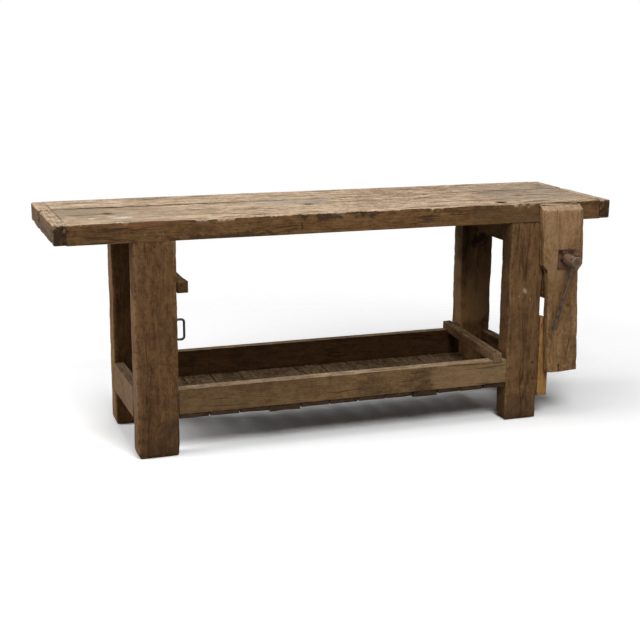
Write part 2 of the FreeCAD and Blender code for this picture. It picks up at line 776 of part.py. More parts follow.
def nut_block():
    """A block beside the right front leg, hung from the top and bored for the nut."""
    block = Piece("nut_block", "post_right", "front_line")
    low = "nut_block_bottom - nut_block_width * slot_fall_share"
    bottom = [("0", "nut_block_bottom"), ("nut_block_width", low)]
    face = bottom + [("nut_block_width", "leg_tall"), ("0", "leg_tall")]
    block.add("XZ", face, "0", "leg_depth")
    block.add("XY", tenon_hole("0", "0", "nut_block_width"), "leg_tall", "leg_tenon_height")
    axis = [("block_axis", "screw_height")]
    block.drill("XZ", axis, "shank_radius + turning_gap", "0", "leg_depth")
    block.drill("XZ", axis, "nut_radius + peg_fit", "leg_depth - nut_tall", "nut_tall")
    block.drill("YZ", block_dowel_places(), DOWEL_HOLE, "0", "dowel_depth")
    screws = [(f"block_axis + {x}", f"screw_height + {z}") for x, z in nut_screw_places()]
    block.drill("XZ", screws, SCREW_HOLE, "leg_depth - wood_screw_bite", "wood_screw_bite")
    dowels = []
    for back, height in block_dowel_places():
        spot = (f"front_line + {back}", height, "dowel_radius", "2 * dowel_depth")
        dowels.append(rod("+X", "post_right - dowel_depth", *spot))
    group("nut_block_dowels", dowels)


def packing_board():
    """A newer board on the outer face of the right front leg, below the slot, with its two nails."""
    board = Piece("packing_board", "post_right", "front_line")
    right = "packing_top - packing_width * slot_fall_share"
    bottom = [("0", "packing_bottom"), ("packing_width", "packing_bottom")]
    face = bottom + [("packing_width", right), ("0", "packing_top")]
    board.add("XZ", face, "0", "packing_depth")
    board.drill("YZ", packing_nail_places(), NAIL_HOLE, "-cut_overrun", "packing_width + 2 * cut_overrun")
    nails = []
    for back, height in packing_nail_places():
        spot = (f"front_line + {back}", height, "nail", "packing_width + nail_bite")
        nails.append(headed("-X", "post_right + packing_width", *spot))
    group("packing_nails", nails)


def ridge(inner, outer, spread):
    """Thread profile from an inner to an outer radius, widened by a spread on each side."""
    root = f"(ridge_root_width / 2 + {spread})"
    crest = f"(ridge_crest_width / 2 + {spread})"
    return [
        (f"thread_pitch - {root}", inner),
        (f"thread_pitch + {root}", inner),
        (f"thread_pitch + {crest}", outer),
        (f"thread_pitch - {crest}", outer),
    ]


def vise_nut():
    """A flanged iron nut let into the back of the nut block, with its thread and flange screws."""
    nut = Piece("vise_nut", "screw_line", "front_line", "screw_height")
    nut.add_round("XZ", [("0", "0")], "nut_radius", "leg_depth - nut_tall", "nut_tall")
    half = "nut_flange_side / 2"
    nut.add("XZ", rectangle(f"-{half}", f"-{half}", half, half), "leg_depth", "nut_flange_thick")
    bore = "thread_root_radius + thread_gap"
    nut.drill("XZ", [("0", "0")], bore, "0", "nut_rear + cut_overrun")
    through = "nut_flange_thick + 2 * cut_overrun"
    nut.drill("XZ", nut_screw_places(), SCREW_HOLE, "leg_depth - cut_overrun", through)
    groove = ridge("thread_root_radius", "thread_radius + thread_gap", "thread_gap")
    nut.thread("Subtractive", groove, "0", "nut_rear + thread_pitch")
    screws = []
    for x, z in nut_screw_places():
        spot = (f"screw_line + {x}", "front_line + nut_rear", f"screw_height + {z}", "wood_screw")
        screws.append(headed("-Y", *spot, "nut_flange_thick + wood_screw_bite"))
    group("nut_screws", screws)


# The moving side of the vise

def chop_edge(drop, width, side):
    """A point on the left (-1) or right (1) side of the leaning chop, a drop below the screw's axis."""
    return f"-chop_offset + ({drop}) * chop_lean_share + {side} * {width} / 2"


def plate_nail_places():
    """The four nails of the screw plate, from the screw's axis."""
    reach = "(plate_side / 2 - plate_nail_inset)"
    return [(f"{a} * {reach}", f"{b} * {reach}") for a in (-1, 1) for b in (-1, 1)]


def vise_chop():
    """The moving jaw: a tall board with a wide head, sloping shoulders and a narrower foot."""
    chop = Piece("vise_chop", "screw_line", "front_line", "screw_height")
    levels = (
        ("-chop_rise", "chop_head_width"),
        ("chop_shoulder_drop", "chop_head_width"),
        ("chop_foot_top", "chop_foot_width"),
        ("chop_fall", "chop_foot_width"),
    )
    left = [(chop_edge(drop, width, -1), f"-({drop})") for drop, width in levels]
    right = [(chop_edge(drop, width, 1), f"-({drop})") for drop, width in reversed(levels)]
    chop.add("XZ", left + right, "-chop_front", "chop_thick")
    facet = [
        ("-chop_front - cut_overrun", "chop_rise - chop_facet_fall"),
        ("-chop_front", "chop_rise - chop_facet_fall"),
        ("-closed_gap - chop_facet_flat", "chop_rise"),
        ("-chop_front - cut_overrun", "chop_rise"),
    ]
    chop.cut("YZ", facet, "-chop_head_width", "2 * chop_head_width")
    axis = [("0", "0")]
    chop.drill("XZ", axis, "shank_radius + turning_gap", "-chop_front", "chop_thick")
    chop.drill("XZ", axis, "collar_radius + turning_gap", "-closed_gap - collar_pocket", "collar_pocket")
    bite = "chop_thick / 2"
    chop.drill("XZ", plate_nail_places(), NAIL_HOLE, "-chop_front", bite)


def screw_plate():
    """The square iron plate that the screw's head bears on, with its nails."""
    plate = Piece("screw_plate", "screw_line", "front_line", "screw_height")
    half = "plate_side / 2"
    plate.add("XZ", rectangle(f"-{half}", f"-{half}", half, half), "-plate_front", "plate_thick")
    plate.drill("XZ", [("0", "0")], "shank_radius + turning_gap", "-plate_front", "plate_thick")
    plate.drill("XZ", plate_nail_places(), NAIL_HOLE, "-plate_front", "plate_thick")
    nails = []
    for x, z in plate_nail_places():
        spot = (f"screw_line + {x}", "front_line - plate_front", f"screw_height + {z}", "nail")
        nails.append(headed("+Y", *spot, "plate_thick + chop_thick / 2"))
    group("plate_nails", nails)


def front_rim(shape):
    """Name of the circular edge at the front end of a turned piece."""
    edges = [(edge.BoundBox.YMax, f"Edge{number}") for number, edge in enumerate(shape.Edges, 1)]
    return [min(edges)[1]]


def vise_screw():
    """The iron screw: a round head with a cross hole, a plain shank and a right-hand thread."""
    screw = Piece("vise_screw", "screw_line", "front_line", "screw_height")
    axis = [("0", "0")]
    screw.add_round("XZ", axis, "head_radius", "-vise_reach", "head_length")
    screw.bevel(front_rim, "head_bevel")
    screw.add_round("XZ", axis, "shank_radius", "-head_seat", "head_seat")
    screw.add_round("XZ", axis, "thread_root_radius", "0", "thread_end")
    profile = ridge("thread_root_radius - thread_sink", "thread_radius", "0")
    screw.thread("Additive", profile, "0", "thread_end - 2 * thread_pitch")
    hole = screw.circles("XY", [("0", "-tommy_line")], "tommy_radius + turning_gap", "0")
    hole.AttachmentOffset = Placement(Vector(), Rotation(Vector(0, 1, 0), 1))
    hole.setExpression("AttachmentOffset.Rotation.Angle", bound("tommy_lean"))
    across = screw.extrude("Pocket", "XY", hole, "4 * head_radius")
    across.Midplane = True
    pin = [("0", "-collar_front + collar_thick / 2")]
    screw.drill("XY", pin, "collar_pin_radius + peg_fit", "-collar_radius", "2 * collar_radius")


def screw_collar():
    """A collar pinned on the shank behind the chop, which draws the chop open with the screw."""
    collar = Piece("screw_collar", "screw_line", "front_line", "screw_height")
    axis = [("0", "0")]
    collar.add_round("XZ", axis, "collar_radius", "-collar_front", "collar_thick")
    collar.drill("XZ", axis, "shank_radius + peg_fit", "-collar_front", "collar_thick")
    pin = [("0", "-collar_front + collar_thick / 2")]
    collar.drill("XY", pin, "collar_pin_radius + peg_fit", "-collar_radius", "2 * collar_radius")
    line = "front_line - collar_front + collar_thick / 2"
    spot = ("screw_line", line, "screw_height - shank_radius - collar_thick / 2", "collar_pin_radius")
    group("collar_pin", [rod("+Z", *spot, "2 * shank_radius + collar_thick")])


def lean_with_bar(piece, along):
    """Put a piece on the tommy bar's axis, a distance up the bar from the screw."""
    piece.body.Placement = Placement(Vector(), Rotation(Vector(0, 1, 0), 1))
    piece.body.setExpression("Placement.Rotation.Angle", bound("tommy_lean"))
    sine = f"sin({bound('tommy_lean')} * 1 deg)"
    cosine = f"cos({bound('tommy_lean')} * 1 deg)"
    distance = bound(along)
    piece.body.setExpression("Placement.Base.x", f"{bound('screw_line')} + ({distance}) * {sine}")
    piece.body.setExpression("Placement.Base.z", f"{bound('screw_height')} + ({distance}) * {cosine}")


def tommy_bar():
    """The sliding bar, which hangs in the screw's head by its upper knob."""
    bar = Piece("tommy_bar", y="front_line - tommy_line")
    lean_with_bar(bar, "0")
    axis = [("0", "0")]
    low = "-tommy_reach + knob_tall"
    bar.add_round("XY", axis, "tommy_radius", low, f"knob_seat - ({low})")
    bar.add_round("XY", axis, "tommy_end_radius", "-tommy_reach", "tommy_reach + knob_seat + knob_tall")
    for name, along in (("top", "knob_seat"), ("bottom", "-tommy_reach")):
        knob = Piece(f"tommy_knob_{name}", y="front_line - tommy_line")
        lean_with_bar(knob, along)
        knob.add_round("XY", axis, "knob_radius", "0", "knob_tall")
        knob.bevel(end_rims, "knob_bevel")
        knob.drill("XY", axis, "tommy_end_radius + peg_fit", "0", "knob_tall")


def end_rims(shape):
    """Names of the circular edges at both ends of a turned piece."""
    return [f"Edge{number}" for number, edge in enumerate(shape.Edges, 1) if edge.isClosed()]


def build():
    """Build every piece of the bench."""
    fill_sheet()
    front_plank()
    rear_plank()
    for side in ("left", "right"):
        end_cap(side, "front", "front_line", "front_plank_width")
        end_cap(side, "rear", "rear_plank_line", "rear_plank_width")
    top_fixings()
    legs()
    for side in ("left", "right"):
        stretcher(side)
        upper_rail(side)
    tray_rail("front")
    tray_rail("rear")
    for index in range(len(BOARD_SHARES)):
        tray_board(index)
    end_bar()
    tray_fixings()
    drawer_runner()
    iron_staple()
    nut_block()
    packing_board()
    vise_nut()
    vise_chop()
    screw_plate()
    vise_screw()
    screw_collar()
    tommy_bar()
    doc.recompute()


def check():
    """Stop if any object failed, any shape is unsound or any cut removed nothing."""
    for item in doc.Objects:
        if "Invalid" in item.State or "Error" in item.State:
            raise RuntimeError(f"{item.Label} failed: {item.State}")
        if item.TypeId in ("PartDesign::Pocket", "PartDesign::SubtractiveHelix"):
            if item.Shape.Volume >= item.BaseFeature.Shape.Volume:
                raise RuntimeError(f"{item.Label} cut nothing")
    for node in nodes:
        if node.Shape.isNull() or not node.Shape.isValid():
            raise RuntimeError(f"{node.Label} has no sound shape")


def export():
    """Write each piece to a file of its own."""
    os.makedirs("parts", exist_ok=True)
    for node in nodes:
        node.Shape.exportStep(f"parts/{node.Label}.step")


build()
check()
export()
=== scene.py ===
import json
import logging
import math
import random
from dataclasses import dataclass, field
from enum import Enum
from functools import lru_cache
from typing import Callable, Optional, Union

import bmesh
import bpy
from mathutils import Matrix, Vector, noise


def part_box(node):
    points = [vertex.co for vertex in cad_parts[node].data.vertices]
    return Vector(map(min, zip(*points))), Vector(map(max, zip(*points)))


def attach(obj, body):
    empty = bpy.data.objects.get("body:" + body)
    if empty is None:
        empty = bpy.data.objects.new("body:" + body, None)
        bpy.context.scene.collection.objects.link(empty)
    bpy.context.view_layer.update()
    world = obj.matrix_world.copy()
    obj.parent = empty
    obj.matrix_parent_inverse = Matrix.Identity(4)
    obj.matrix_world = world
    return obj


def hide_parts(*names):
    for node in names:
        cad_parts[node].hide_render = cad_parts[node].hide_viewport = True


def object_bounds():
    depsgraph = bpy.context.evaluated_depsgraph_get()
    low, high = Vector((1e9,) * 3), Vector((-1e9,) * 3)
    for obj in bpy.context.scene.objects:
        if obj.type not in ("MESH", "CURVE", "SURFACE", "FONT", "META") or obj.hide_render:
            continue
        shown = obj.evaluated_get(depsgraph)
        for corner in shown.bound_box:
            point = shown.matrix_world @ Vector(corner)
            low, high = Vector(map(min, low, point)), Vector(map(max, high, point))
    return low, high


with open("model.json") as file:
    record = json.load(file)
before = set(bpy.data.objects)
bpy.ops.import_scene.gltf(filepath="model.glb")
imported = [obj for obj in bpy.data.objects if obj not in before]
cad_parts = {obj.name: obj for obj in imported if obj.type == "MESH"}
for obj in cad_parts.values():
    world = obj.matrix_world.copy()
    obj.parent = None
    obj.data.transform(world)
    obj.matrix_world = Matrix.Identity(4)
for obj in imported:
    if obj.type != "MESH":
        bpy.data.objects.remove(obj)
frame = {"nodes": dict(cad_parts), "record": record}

# An old woodworking bench with a leg vise, dressed over its CAD frame. Lengths are in metres.

CAD_BOX = [list(corner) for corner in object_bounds()]
LOG = logging.getLogger("bench")

Colour = tuple[float, float, float, float]
Triple = tuple[float, float, float]
Span = tuple[float, float]
Number = Union[float, "Signal"]


def tint(red: float, green: float, blue: float) -> Colour:
    """A linear colour with full alpha."""
    return (red, green, blue, 1.0)


# Shader tools

class Signal:
    """A node's output that takes part in Python arithmetic."""

    def __init__(self, shader: "Shader", socket: bpy.types.NodeSocket) -> None:
        """Keep the socket and the shader that it belongs to."""
        self.shader = shader
        self.socket = socket

    def maths(self, operation: str, *values: Number) -> "Signal":
        """Result of a Math node whose sockets take the values in order."""
        return self.shader.node("ShaderNodeMath", {"operation": operation}, dict(enumerate(values)))

    def __add__(self, other: Number) -> "Signal":
        """The sum of two values."""
        return self.maths("ADD", self, other)

    def __sub__(self, other: Number) -> "Signal":
        """This value less another."""
        return self.maths("SUBTRACT", self, other)

    def __rsub__(self, other: Number) -> "Signal":
        """Another value less this one."""
        return self.maths("SUBTRACT", other, self)

    def __mul__(self, other: Number) -> "Signal":
        """The product of two values."""
        return self.maths("MULTIPLY", self, other)

    def __abs__(self) -> "Signal":
        """The value without its sign."""
        return self.maths("ABSOLUTE", self)

    __radd__ = __add__

    def sine(self) -> "Signal":
        """The sine of the value."""
        return self.maths("SINE", self)

    def root(self) -> "Signal":
        """The square root of the value."""
        return self.maths("SQRT", self)

    def most(self, other: Number) -> "Signal":
        """The greater of two values."""
        return self.maths("MAXIMUM", self, other)

    def ramp(self, low: float, high: float) -> "Signal":
        """A smooth step from 0 at low to 1 at high, which may be the smaller one."""
        ends = {"Value": self, "From Min": low, "From Max": high}
        return self.shader.node("ShaderNodeMapRange", {"interpolation_type": "SMOOTHSTEP"}, ends)


class Shader:
    """The node tree of a material or a world, to which expressions add nodes."""

    # Sockets of a Mix node that mixes colours
    MIX_FIRST = 6
    MIX_SECOND = 7
    MIX_RESULT = 2

    def __init__(self, owner: Union[bpy.types.Material, bpy.types.World]) -> None:
        """Empty the owner's node tree.

        Args:
            owner: the material or world.
        """
        owner.use_nodes = True
        self.owner = owner
        self.tree = owner.node_tree
        self.tree.nodes.clear()

    def node(self, kind: str, settings: Optional[dict] = None, inputs: Optional[dict] = None,
             output: Union[int, str] = 0) -> Signal:
        """Add any node.

        Args:
            kind: the node's type.
            settings: properties that are set first.
            inputs: numbers, colours or signals by socket name or number.
            output: name or number of the result's socket.

        Returns:
            The result.
        """
        made = self.tree.nodes.new(kind)
        for key, value in (settings or {}).items():
            setattr(made, key, value)
        for key, value in (inputs or {}).items():
            if isinstance(value, Signal):
                self.tree.links.new(value.socket, made.inputs[key])
            else:
                made.inputs[key].default_value = value
        return Signal(self, made.outputs[output])

    def mix(self, factor: Number, first: Union[Colour, Signal], second: Union[Colour, Signal]) -> Signal:
        """Mix two colours.

        Args:
            factor: share of the second colour.
            first: colour at 0.
            second: colour at 1.

        Returns:
            The mixed colour.
        """
        sockets = {0: factor, self.MIX_FIRST: first, self.MIX_SECOND: second}
        settings = {"data_type": "RGBA", "clamp_factor": True}
        return self.node("ShaderNodeMix", settings, sockets, self.MIX_RESULT)

    def stretch(self, vector: Signal, scale: Triple) -> Signal:
        """A vector with each of its parts scaled."""
        return self.node("ShaderNodeVectorMath", {"operation": "MULTIPLY"}, {0: vector, 1: scale})

    def length(self, vector: Signal) -> Signal:
        """The length of a vector."""
        return self.node("ShaderNodeVectorMath", {"operation": "LENGTH"}, {0: vector}, "Value")

    def attribute(self, name: str, output: str) -> Signal:
        """A mesh attribute by name."""
        return self.node("ShaderNodeAttribute", {"attribute_name": name}, {}, output)

    def place(self) -> Signal:
        """Object coordinates, which are those of the bench."""
        return self.node("ShaderNodeTexCoord", {}, {}, "Object")

    def parts(self, vector: Signal) -> list[Signal]:
        """The three parts of a vector."""
        split = self.node("ShaderNodeSeparateXYZ", {}, {0: vector})
        return [Signal(self, output) for output in split.socket.node.outputs]

    def bump(self, height: Signal, depth: float, strength: float) -> Signal:
        """A normal that follows a height."""
        sockets = {"Height": height, "Distance": depth, "Strength": strength}
        return self.node("ShaderNodeBump", {}, sockets)

    def surface(self, sockets: dict) -> bpy.types.Material:
        """End the material in one Principled shader with these values and links."""
        return self.show(self.node("ShaderNodeBsdfPrincipled", {}, sockets))

    def show(self, shaded: Signal, output: str = "ShaderNodeOutputMaterial") -> bpy.types.ID:
        """Lead a shader to the tree's output.

        Args:
            shaded: the shader.
            output: type of the output node.

        Returns:
            The owner of the tree.
        """
        out = self.tree.nodes.new(output)
        self.tree.links.new(shaded.socket, out.inputs["Surface"])
        return self.owner

    def seen(self) -> Signal:
        """Find the rays that show the background.

        Returns:
            1 on rays to the camera, off shiny things and through clear ones, and 0 on others.
        """
        rays = ("Is Camera Ray", "Is Glossy Ray", "Is Transmission Ray")
        camera, glossy, through = (self.node("ShaderNodeLightPath", {}, {}, ray) for ray in rays)
        return camera.most(glossy).most(through)


# Kinds of finish

class Layer(Enum):
    """Layers of a wood's figure. The edge of a mark follows one of them."""

    FIBRE = "fine fibres"
    STREAK = "streaks of the grain"
    BAND = "broad bands of the grain"
    RINGS = "growth rings"
    MOTTLE = "small mottles"
    BLOTCH = "broad blotches"
    SPECK = "fine speckles"


Weights = dict[Layer, float]

# Middle value of a layer
MIDDLE = 0.5


def weighed(layers: dict[Layer, Signal], weights: Weights) -> Signal:
    """Weighted sum of layers about their middle value, which is about 0 on average."""
    first, *others = ((layers[layer] - MIDDLE) * weight for layer, weight in weights.items())
    return sum(others, first)


@dataclass(frozen=True)
class Texture:
    """Fractal noise with its own pitch.

    Attributes:
        pitch: features per metre along each axis.
        detail: number of finer layers.
        roughness: weight of the finer layers.
        span: noise values that are stretched to 0 and 1.
    """

    pitch: Triple
    detail: float
    roughness: float = 0.55
    span: Span = (0.0, 1.0)

    def plain(self, shader: Shader, vector: Signal, output: Union[int, str] = 0) -> Signal:
        """The noise as it is.

        Args:
            shader: the material in work.
            vector: where the noise is read.
            output: the noise node's output.

        Returns:
            The noise, from 0 to 1.
        """
        pitched = shader.stretch(vector, self.pitch)
        sockets = {"Vector": pitched, "Scale": 1.0, "Detail": self.detail, "Roughness": self.roughness}
        return shader.node("ShaderNodeTexNoise", {}, sockets, output)

    def read(self, shader: Shader, vector: Signal) -> Signal:
        """The noise with its span stretched."""
        return self.plain(shader, vector).ramp(*self.span)


@dataclass(frozen=True)
class Figure:
    """How the layers make up the lightness of a face.

    Attributes:
        fine: weights of the fine layers.
        broad: weights of the broad streaks.
        tone: weight of the board's own tone.
        level: lightness where every layer is at its middle.
    """

    fine: Weights
    broad: Weights
    tone: float
    level: float

    def read(self, layers: dict[Layer, Signal], tone: Signal, streaky: float) -> Signal:
        """Lightness of the weighed layers, about from 0 to 1."""
        figure = weighed(layers, self.fine) + weighed(layers, self.broad) * streaky
        return figure + tone * self.tone + self.level


# Layers along the grain, layers by place, and what they do to the wood

GRAIN_LAYERS = {
    Layer.FIBRE: Texture((26.0, 330.0, 330.0), 2.0, span=(0.3, 0.7)),
    Layer.STREAK: Texture((6.0, 75.0, 75.0), 4.0, 0.6, (0.33, 0.67)),
    Layer.BAND: Texture((1.0, 22.0, 22.0), 3.0, 0.6, (0.36, 0.64)),
    Layer.MOTTLE: Texture((24.0, 48.0, 48.0), 5.0, 0.68, (0.34, 0.66)),
}
PLACE_LAYERS = {
    Layer.BLOTCH: Texture((5.5, 5.5, 5.5), 5.0, 0.62, (0.38, 0.66)),
    Layer.SPECK: Texture((85.0, 85.0, 85.0), 4.0, 0.6, (0.36, 0.66)),
}
GRAIN_WANDER = Texture((2.6, 7.0, 7.0), 2.0, 0.5)
CRACK_LINES = Texture((2.2, 42.0, 42.0), 2.0, 0.4)
CRACK_AREAS = Texture((4.0, 18.0, 18.0), 1.0, span=(0.53, 0.63))
RUST_PATCHES = Texture((45.0, 45.0, 45.0), 6.0, 0.65)
RUST_PITS = Texture((420.0, 420.0, 420.0), 4.0, 0.6)
RUBBED_METAL = Texture((30.0, 30.0, 30.0), 3.0, span=(0.58, 0.74))
PEG_PORES = Texture((160.0, 160.0, 160.0), 4.0, 0.6, (0.35, 0.65))
SIDE_FIGURE = Figure(
    fine={Layer.FIBRE: 0.18, Layer.RINGS: 0.12, Layer.SPECK: 0.34, Layer.MOTTLE: 0.42},
    broad={Layer.STREAK: 0.26, Layer.BAND: 0.2},
    tone=0.2,
    level=0.4,
)
TOP_FIGURE = Figure(
    fine={Layer.FIBRE: 0.162, Layer.RINGS: 0.108, Layer.SPECK: 0.306, Layer.MOTTLE: 0.4, Layer.BLOTCH: 0.25},
    broad={Layer.STREAK: 0.208, Layer.BAND: 0.16},
    tone=0.15,
    level=0.425,
)
STAINING = {Layer.BLOTCH: 0.75, Layer.BAND: -0.22, Layer.STREAK: -0.18}
RUBBING = {Layer.STREAK: 0.4, Layer.SPECK: 0.6}
RELIEF = {Layer.FIBRE: 0.3, Layer.STREAK: 0.4, Layer.RINGS: 0.12, Layer.SPECK: 0.3}


@dataclass(frozen=True)
class Mark:
    """A mark on the wood, such as a paint splash, a stain, a knot, a hole, a patch of painted shade and a
    patch of painted light.

    Attributes:
        centre: middle of the mark.
        radius: its reach.
        colour: its colour.
        strength: how much of the wood it hides.
        ragged: how uneven its edge is, as a share of its radius.
        squeeze: factor on the distance along each axis; below 1 the mark is longer that way.
        edge: the layer that its edge follows.
    """

    centre: Triple
    radius: float
    colour: Colour
    strength: float = 0.8
    ragged: float = 0.6
    squeeze: Triple = (1.0, 1.0, 1.0)
    edge: Layer = Layer.SPECK

    CORE_SHARE = 0.4

    def cover(self, shader: Shader, spot: Signal, uneven: Signal) -> Signal:
        """Mask of the mark, which is full in its core.

        Args:
            shader: the material in work.
            spot: object coordinates.
            uneven: noise for the ragged edge.

        Returns:
            The share of the mark's colour.
        """
        offset = shader.node("ShaderNodeVectorMath", {"operation": "SUBTRACT"}, {0: spot, 1: self.centre})
        away = shader.length(shader.stretch(offset, self.squeeze))
        reach = away + (uneven - MIDDLE) * (2 * self.radius * self.ragged)
        return reach.ramp(self.radius, self.radius * self.CORE_SHARE) * self.strength


@dataclass(frozen=True)
class AgedWood:
    """Bare old wood with growth rings, fibres, cracks, dents, stains and worn arrises.

    Attributes:
        name: the material's name.
        dark: late wood and streaks on upright faces.
        light: early wood on upright faces.
        top_dark: late wood on faces that look up.
        top_light: early wood on faces that look up, which light and use have bleached; most finishes also
            paint light from above into it.
        grime: colour of stains and of dirt in hollows.
        worn: colour of rubbed arrises.
        stain: share of large stains.
        split: share of drying cracks.
        streaky: how strong the broad streaks are, from 0 to 1.
        rings: growth rings per metre.
        marks: marks seen on the photographed bench.
    """

    name: str
    dark: Colour
    light: Colour
    top_dark: Colour
    top_light: Colour
    grime: Colour
    worn: Colour
    stain: float = 0.5
    split: float = 0.8
    streaky: float = 0.8
    rings: float = 150.0
    marks: tuple[Mark, ...] = ()

    # Values that start and end a change, then shares, depths and the surface's own values
    TOP_SPAN = (0.05, 0.85)
    UPWARD_SPAN = (0.3, 0.85)
    STAIN_SPAN = (0.025, 0.525)
    RUBBED_SPAN = (-0.2, 0.3)
    DIRT_SPAN = (0.75, 1.0)
    CRACK_SPAN = (0.036, 0.01)
    DENT_SPAN = (0.06, 0.04)
    DENT_CHOICE = (0.3, 0.25)
    RUBBED_SHARE = 0.6
    DIRT_SHARE = 0.25
    DENT_SHARE = 0.85
    DENTS_PER_METRE = 17.0
    CRACK_DEPTH = 1.5
    DENT_DEPTH = 1.2
    BUMP_DEPTH = 0.0022
    BUMP_STRENGTH = 0.8
    ROUGHNESS = 0.74
    BLOTCH_ROUGHNESS = 0.14
    RUBBED_POLISH = 0.12
    SHINE = 0.08
    WANDER_REACH = (0.0, 0.045, 0.045)

    def material(self) -> bpy.types.Material:
        """Make the wood.

        Returns:
            The finished material.
        """
        shader = Shader(bpy.data.materials.new(self.name))
        edge = shader.attribute("edge", "Fac")
        spot = shader.place()
        grain = self.bent(shader, shader.attribute("grain", "Vector"))
        layers = {layer: texture.read(shader, grain) for layer, texture in GRAIN_LAYERS.items()}
        layers |= {layer: texture.read(shader, spot) for layer, texture in PLACE_LAYERS.items()}
        layers[Layer.RINGS] = self.growth(shader, grain)
        cracks = self.cracks(shader, grain)
        dents = self.dents(shader, spot)
        colour = self.bare(shader, layers)
        stains = weighed(layers, STAINING).ramp(*self.STAIN_SPAN)
        colour = shader.mix(stains * self.stain, colour, self.grime)
        rubbed = edge * weighed(layers, RUBBING).ramp(*self.RUBBED_SPAN)
        colour = shader.mix(rubbed * self.RUBBED_SHARE, colour, self.worn)
        dirt = layers[Layer.SPECK].ramp(*self.DIRT_SPAN)
        colour = shader.mix(dirt * self.DIRT_SHARE, colour, self.grime)
        for mark in self.marks:
            colour = shader.mix(mark.cover(shader, spot, layers[mark.edge]), colour, mark.colour)
        hollows = (cracks * self.split).most(dents * self.DENT_SHARE)
        height = weighed(layers, RELIEF) - cracks * self.CRACK_DEPTH - dents * self.DENT_DEPTH
        rough = self.ROUGHNESS + layers[Layer.BLOTCH] * self.BLOTCH_ROUGHNESS - rubbed * self.RUBBED_POLISH
        sockets = {
            "Base Color": shader.mix(hollows, colour, self.grime),
            "Roughness": rough,
            "Specular IOR Level": self.SHINE,
            "Normal": shader.bump(height, self.BUMP_DEPTH, self.BUMP_STRENGTH),
        }
        return shader.surface(sockets)

    def bare(self, shader: Shader, layers: dict[Layer, Signal]) -> Signal:
        """Colour of the clean wood, with its own colours where it faces up: bleaching, and in most finishes
        painted light on the tops and painted shade on the upright faces.

        Args:
            shader: the material in work.
            layers: the wood's layers.

        Returns:
            The colour.
        """
        tone = shader.attribute("tone", "Fac")
        upward = shader.parts(shader.node("ShaderNodeNewGeometry", {}, {}, "Normal"))[2]
        figure = SIDE_FIGURE.read(layers, tone, self.streaky)
        weather = TOP_FIGURE.read(layers, tone, self.streaky).ramp(*self.TOP_SPAN)
        sides = shader.mix(figure, self.dark, self.light)
        tops = shader.mix(weather, self.top_dark, self.top_light)
        # Faces that look up take the top colours and upright faces the side colours: bleaching, and in most
        # finishes painted light on the tops and painted shade on the sides.
        return shader.mix(upward.ramp(*self.UPWARD_SPAN), sides, tops)

    def growth(self, shader: Shader, grain: Signal) -> Signal:
        """Growth rings about the pith.

        Args:
            shader: the material in work.
            grain: grain coordinates.

        Returns:
            A wave from 0 to 1.
        """
        _, across, through = shader.parts(grain)
        pith = (across * across + through * through).root()
        return (pith * (self.rings * math.tau)).sine() * MIDDLE + MIDDLE

    def bent(self, shader: Shader, grain: Signal) -> Signal:
        """Grain coordinates with fibres that wander to the sides.

        Args:
            shader: the material in work.
            grain: straight grain coordinates.

        Returns:
            The wandering coordinates.
        """
        wander = GRAIN_WANDER.plain(shader, grain, "Color")
        sockets = {0: wander, 1: self.WANDER_REACH, 2: grain}
        return shader.node("ShaderNodeVectorMath", {"operation": "MULTIPLY_ADD"}, sockets)

    def cracks(self, shader: Shader, grain: Signal) -> Signal:
        """Drying cracks along the grain, as 1 in a crack and 0 outside."""
        away = abs(CRACK_LINES.plain(shader, grain) - MIDDLE)
        return away.ramp(*self.CRACK_SPAN) * CRACK_AREAS.read(shader, grain)

    def dents(self, shader: Shader, spot: Signal) -> Signal:
        """Nail holes and knocks.

        Args:
            shader: the material in work.
            spot: object coordinates.

        Returns:
            1 in a dent and 0 outside.
        """
        cells = shader.node("ShaderNodeTexVoronoi", {}, {"Vector": spot, "Scale": self.DENTS_PER_METRE})
        chosen = shader.parts(Signal(shader, cells.socket.node.outputs["Color"]))[0]
        return cells.ramp(*self.DENT_SPAN) * chosen.ramp(*self.DENT_CHOICE)


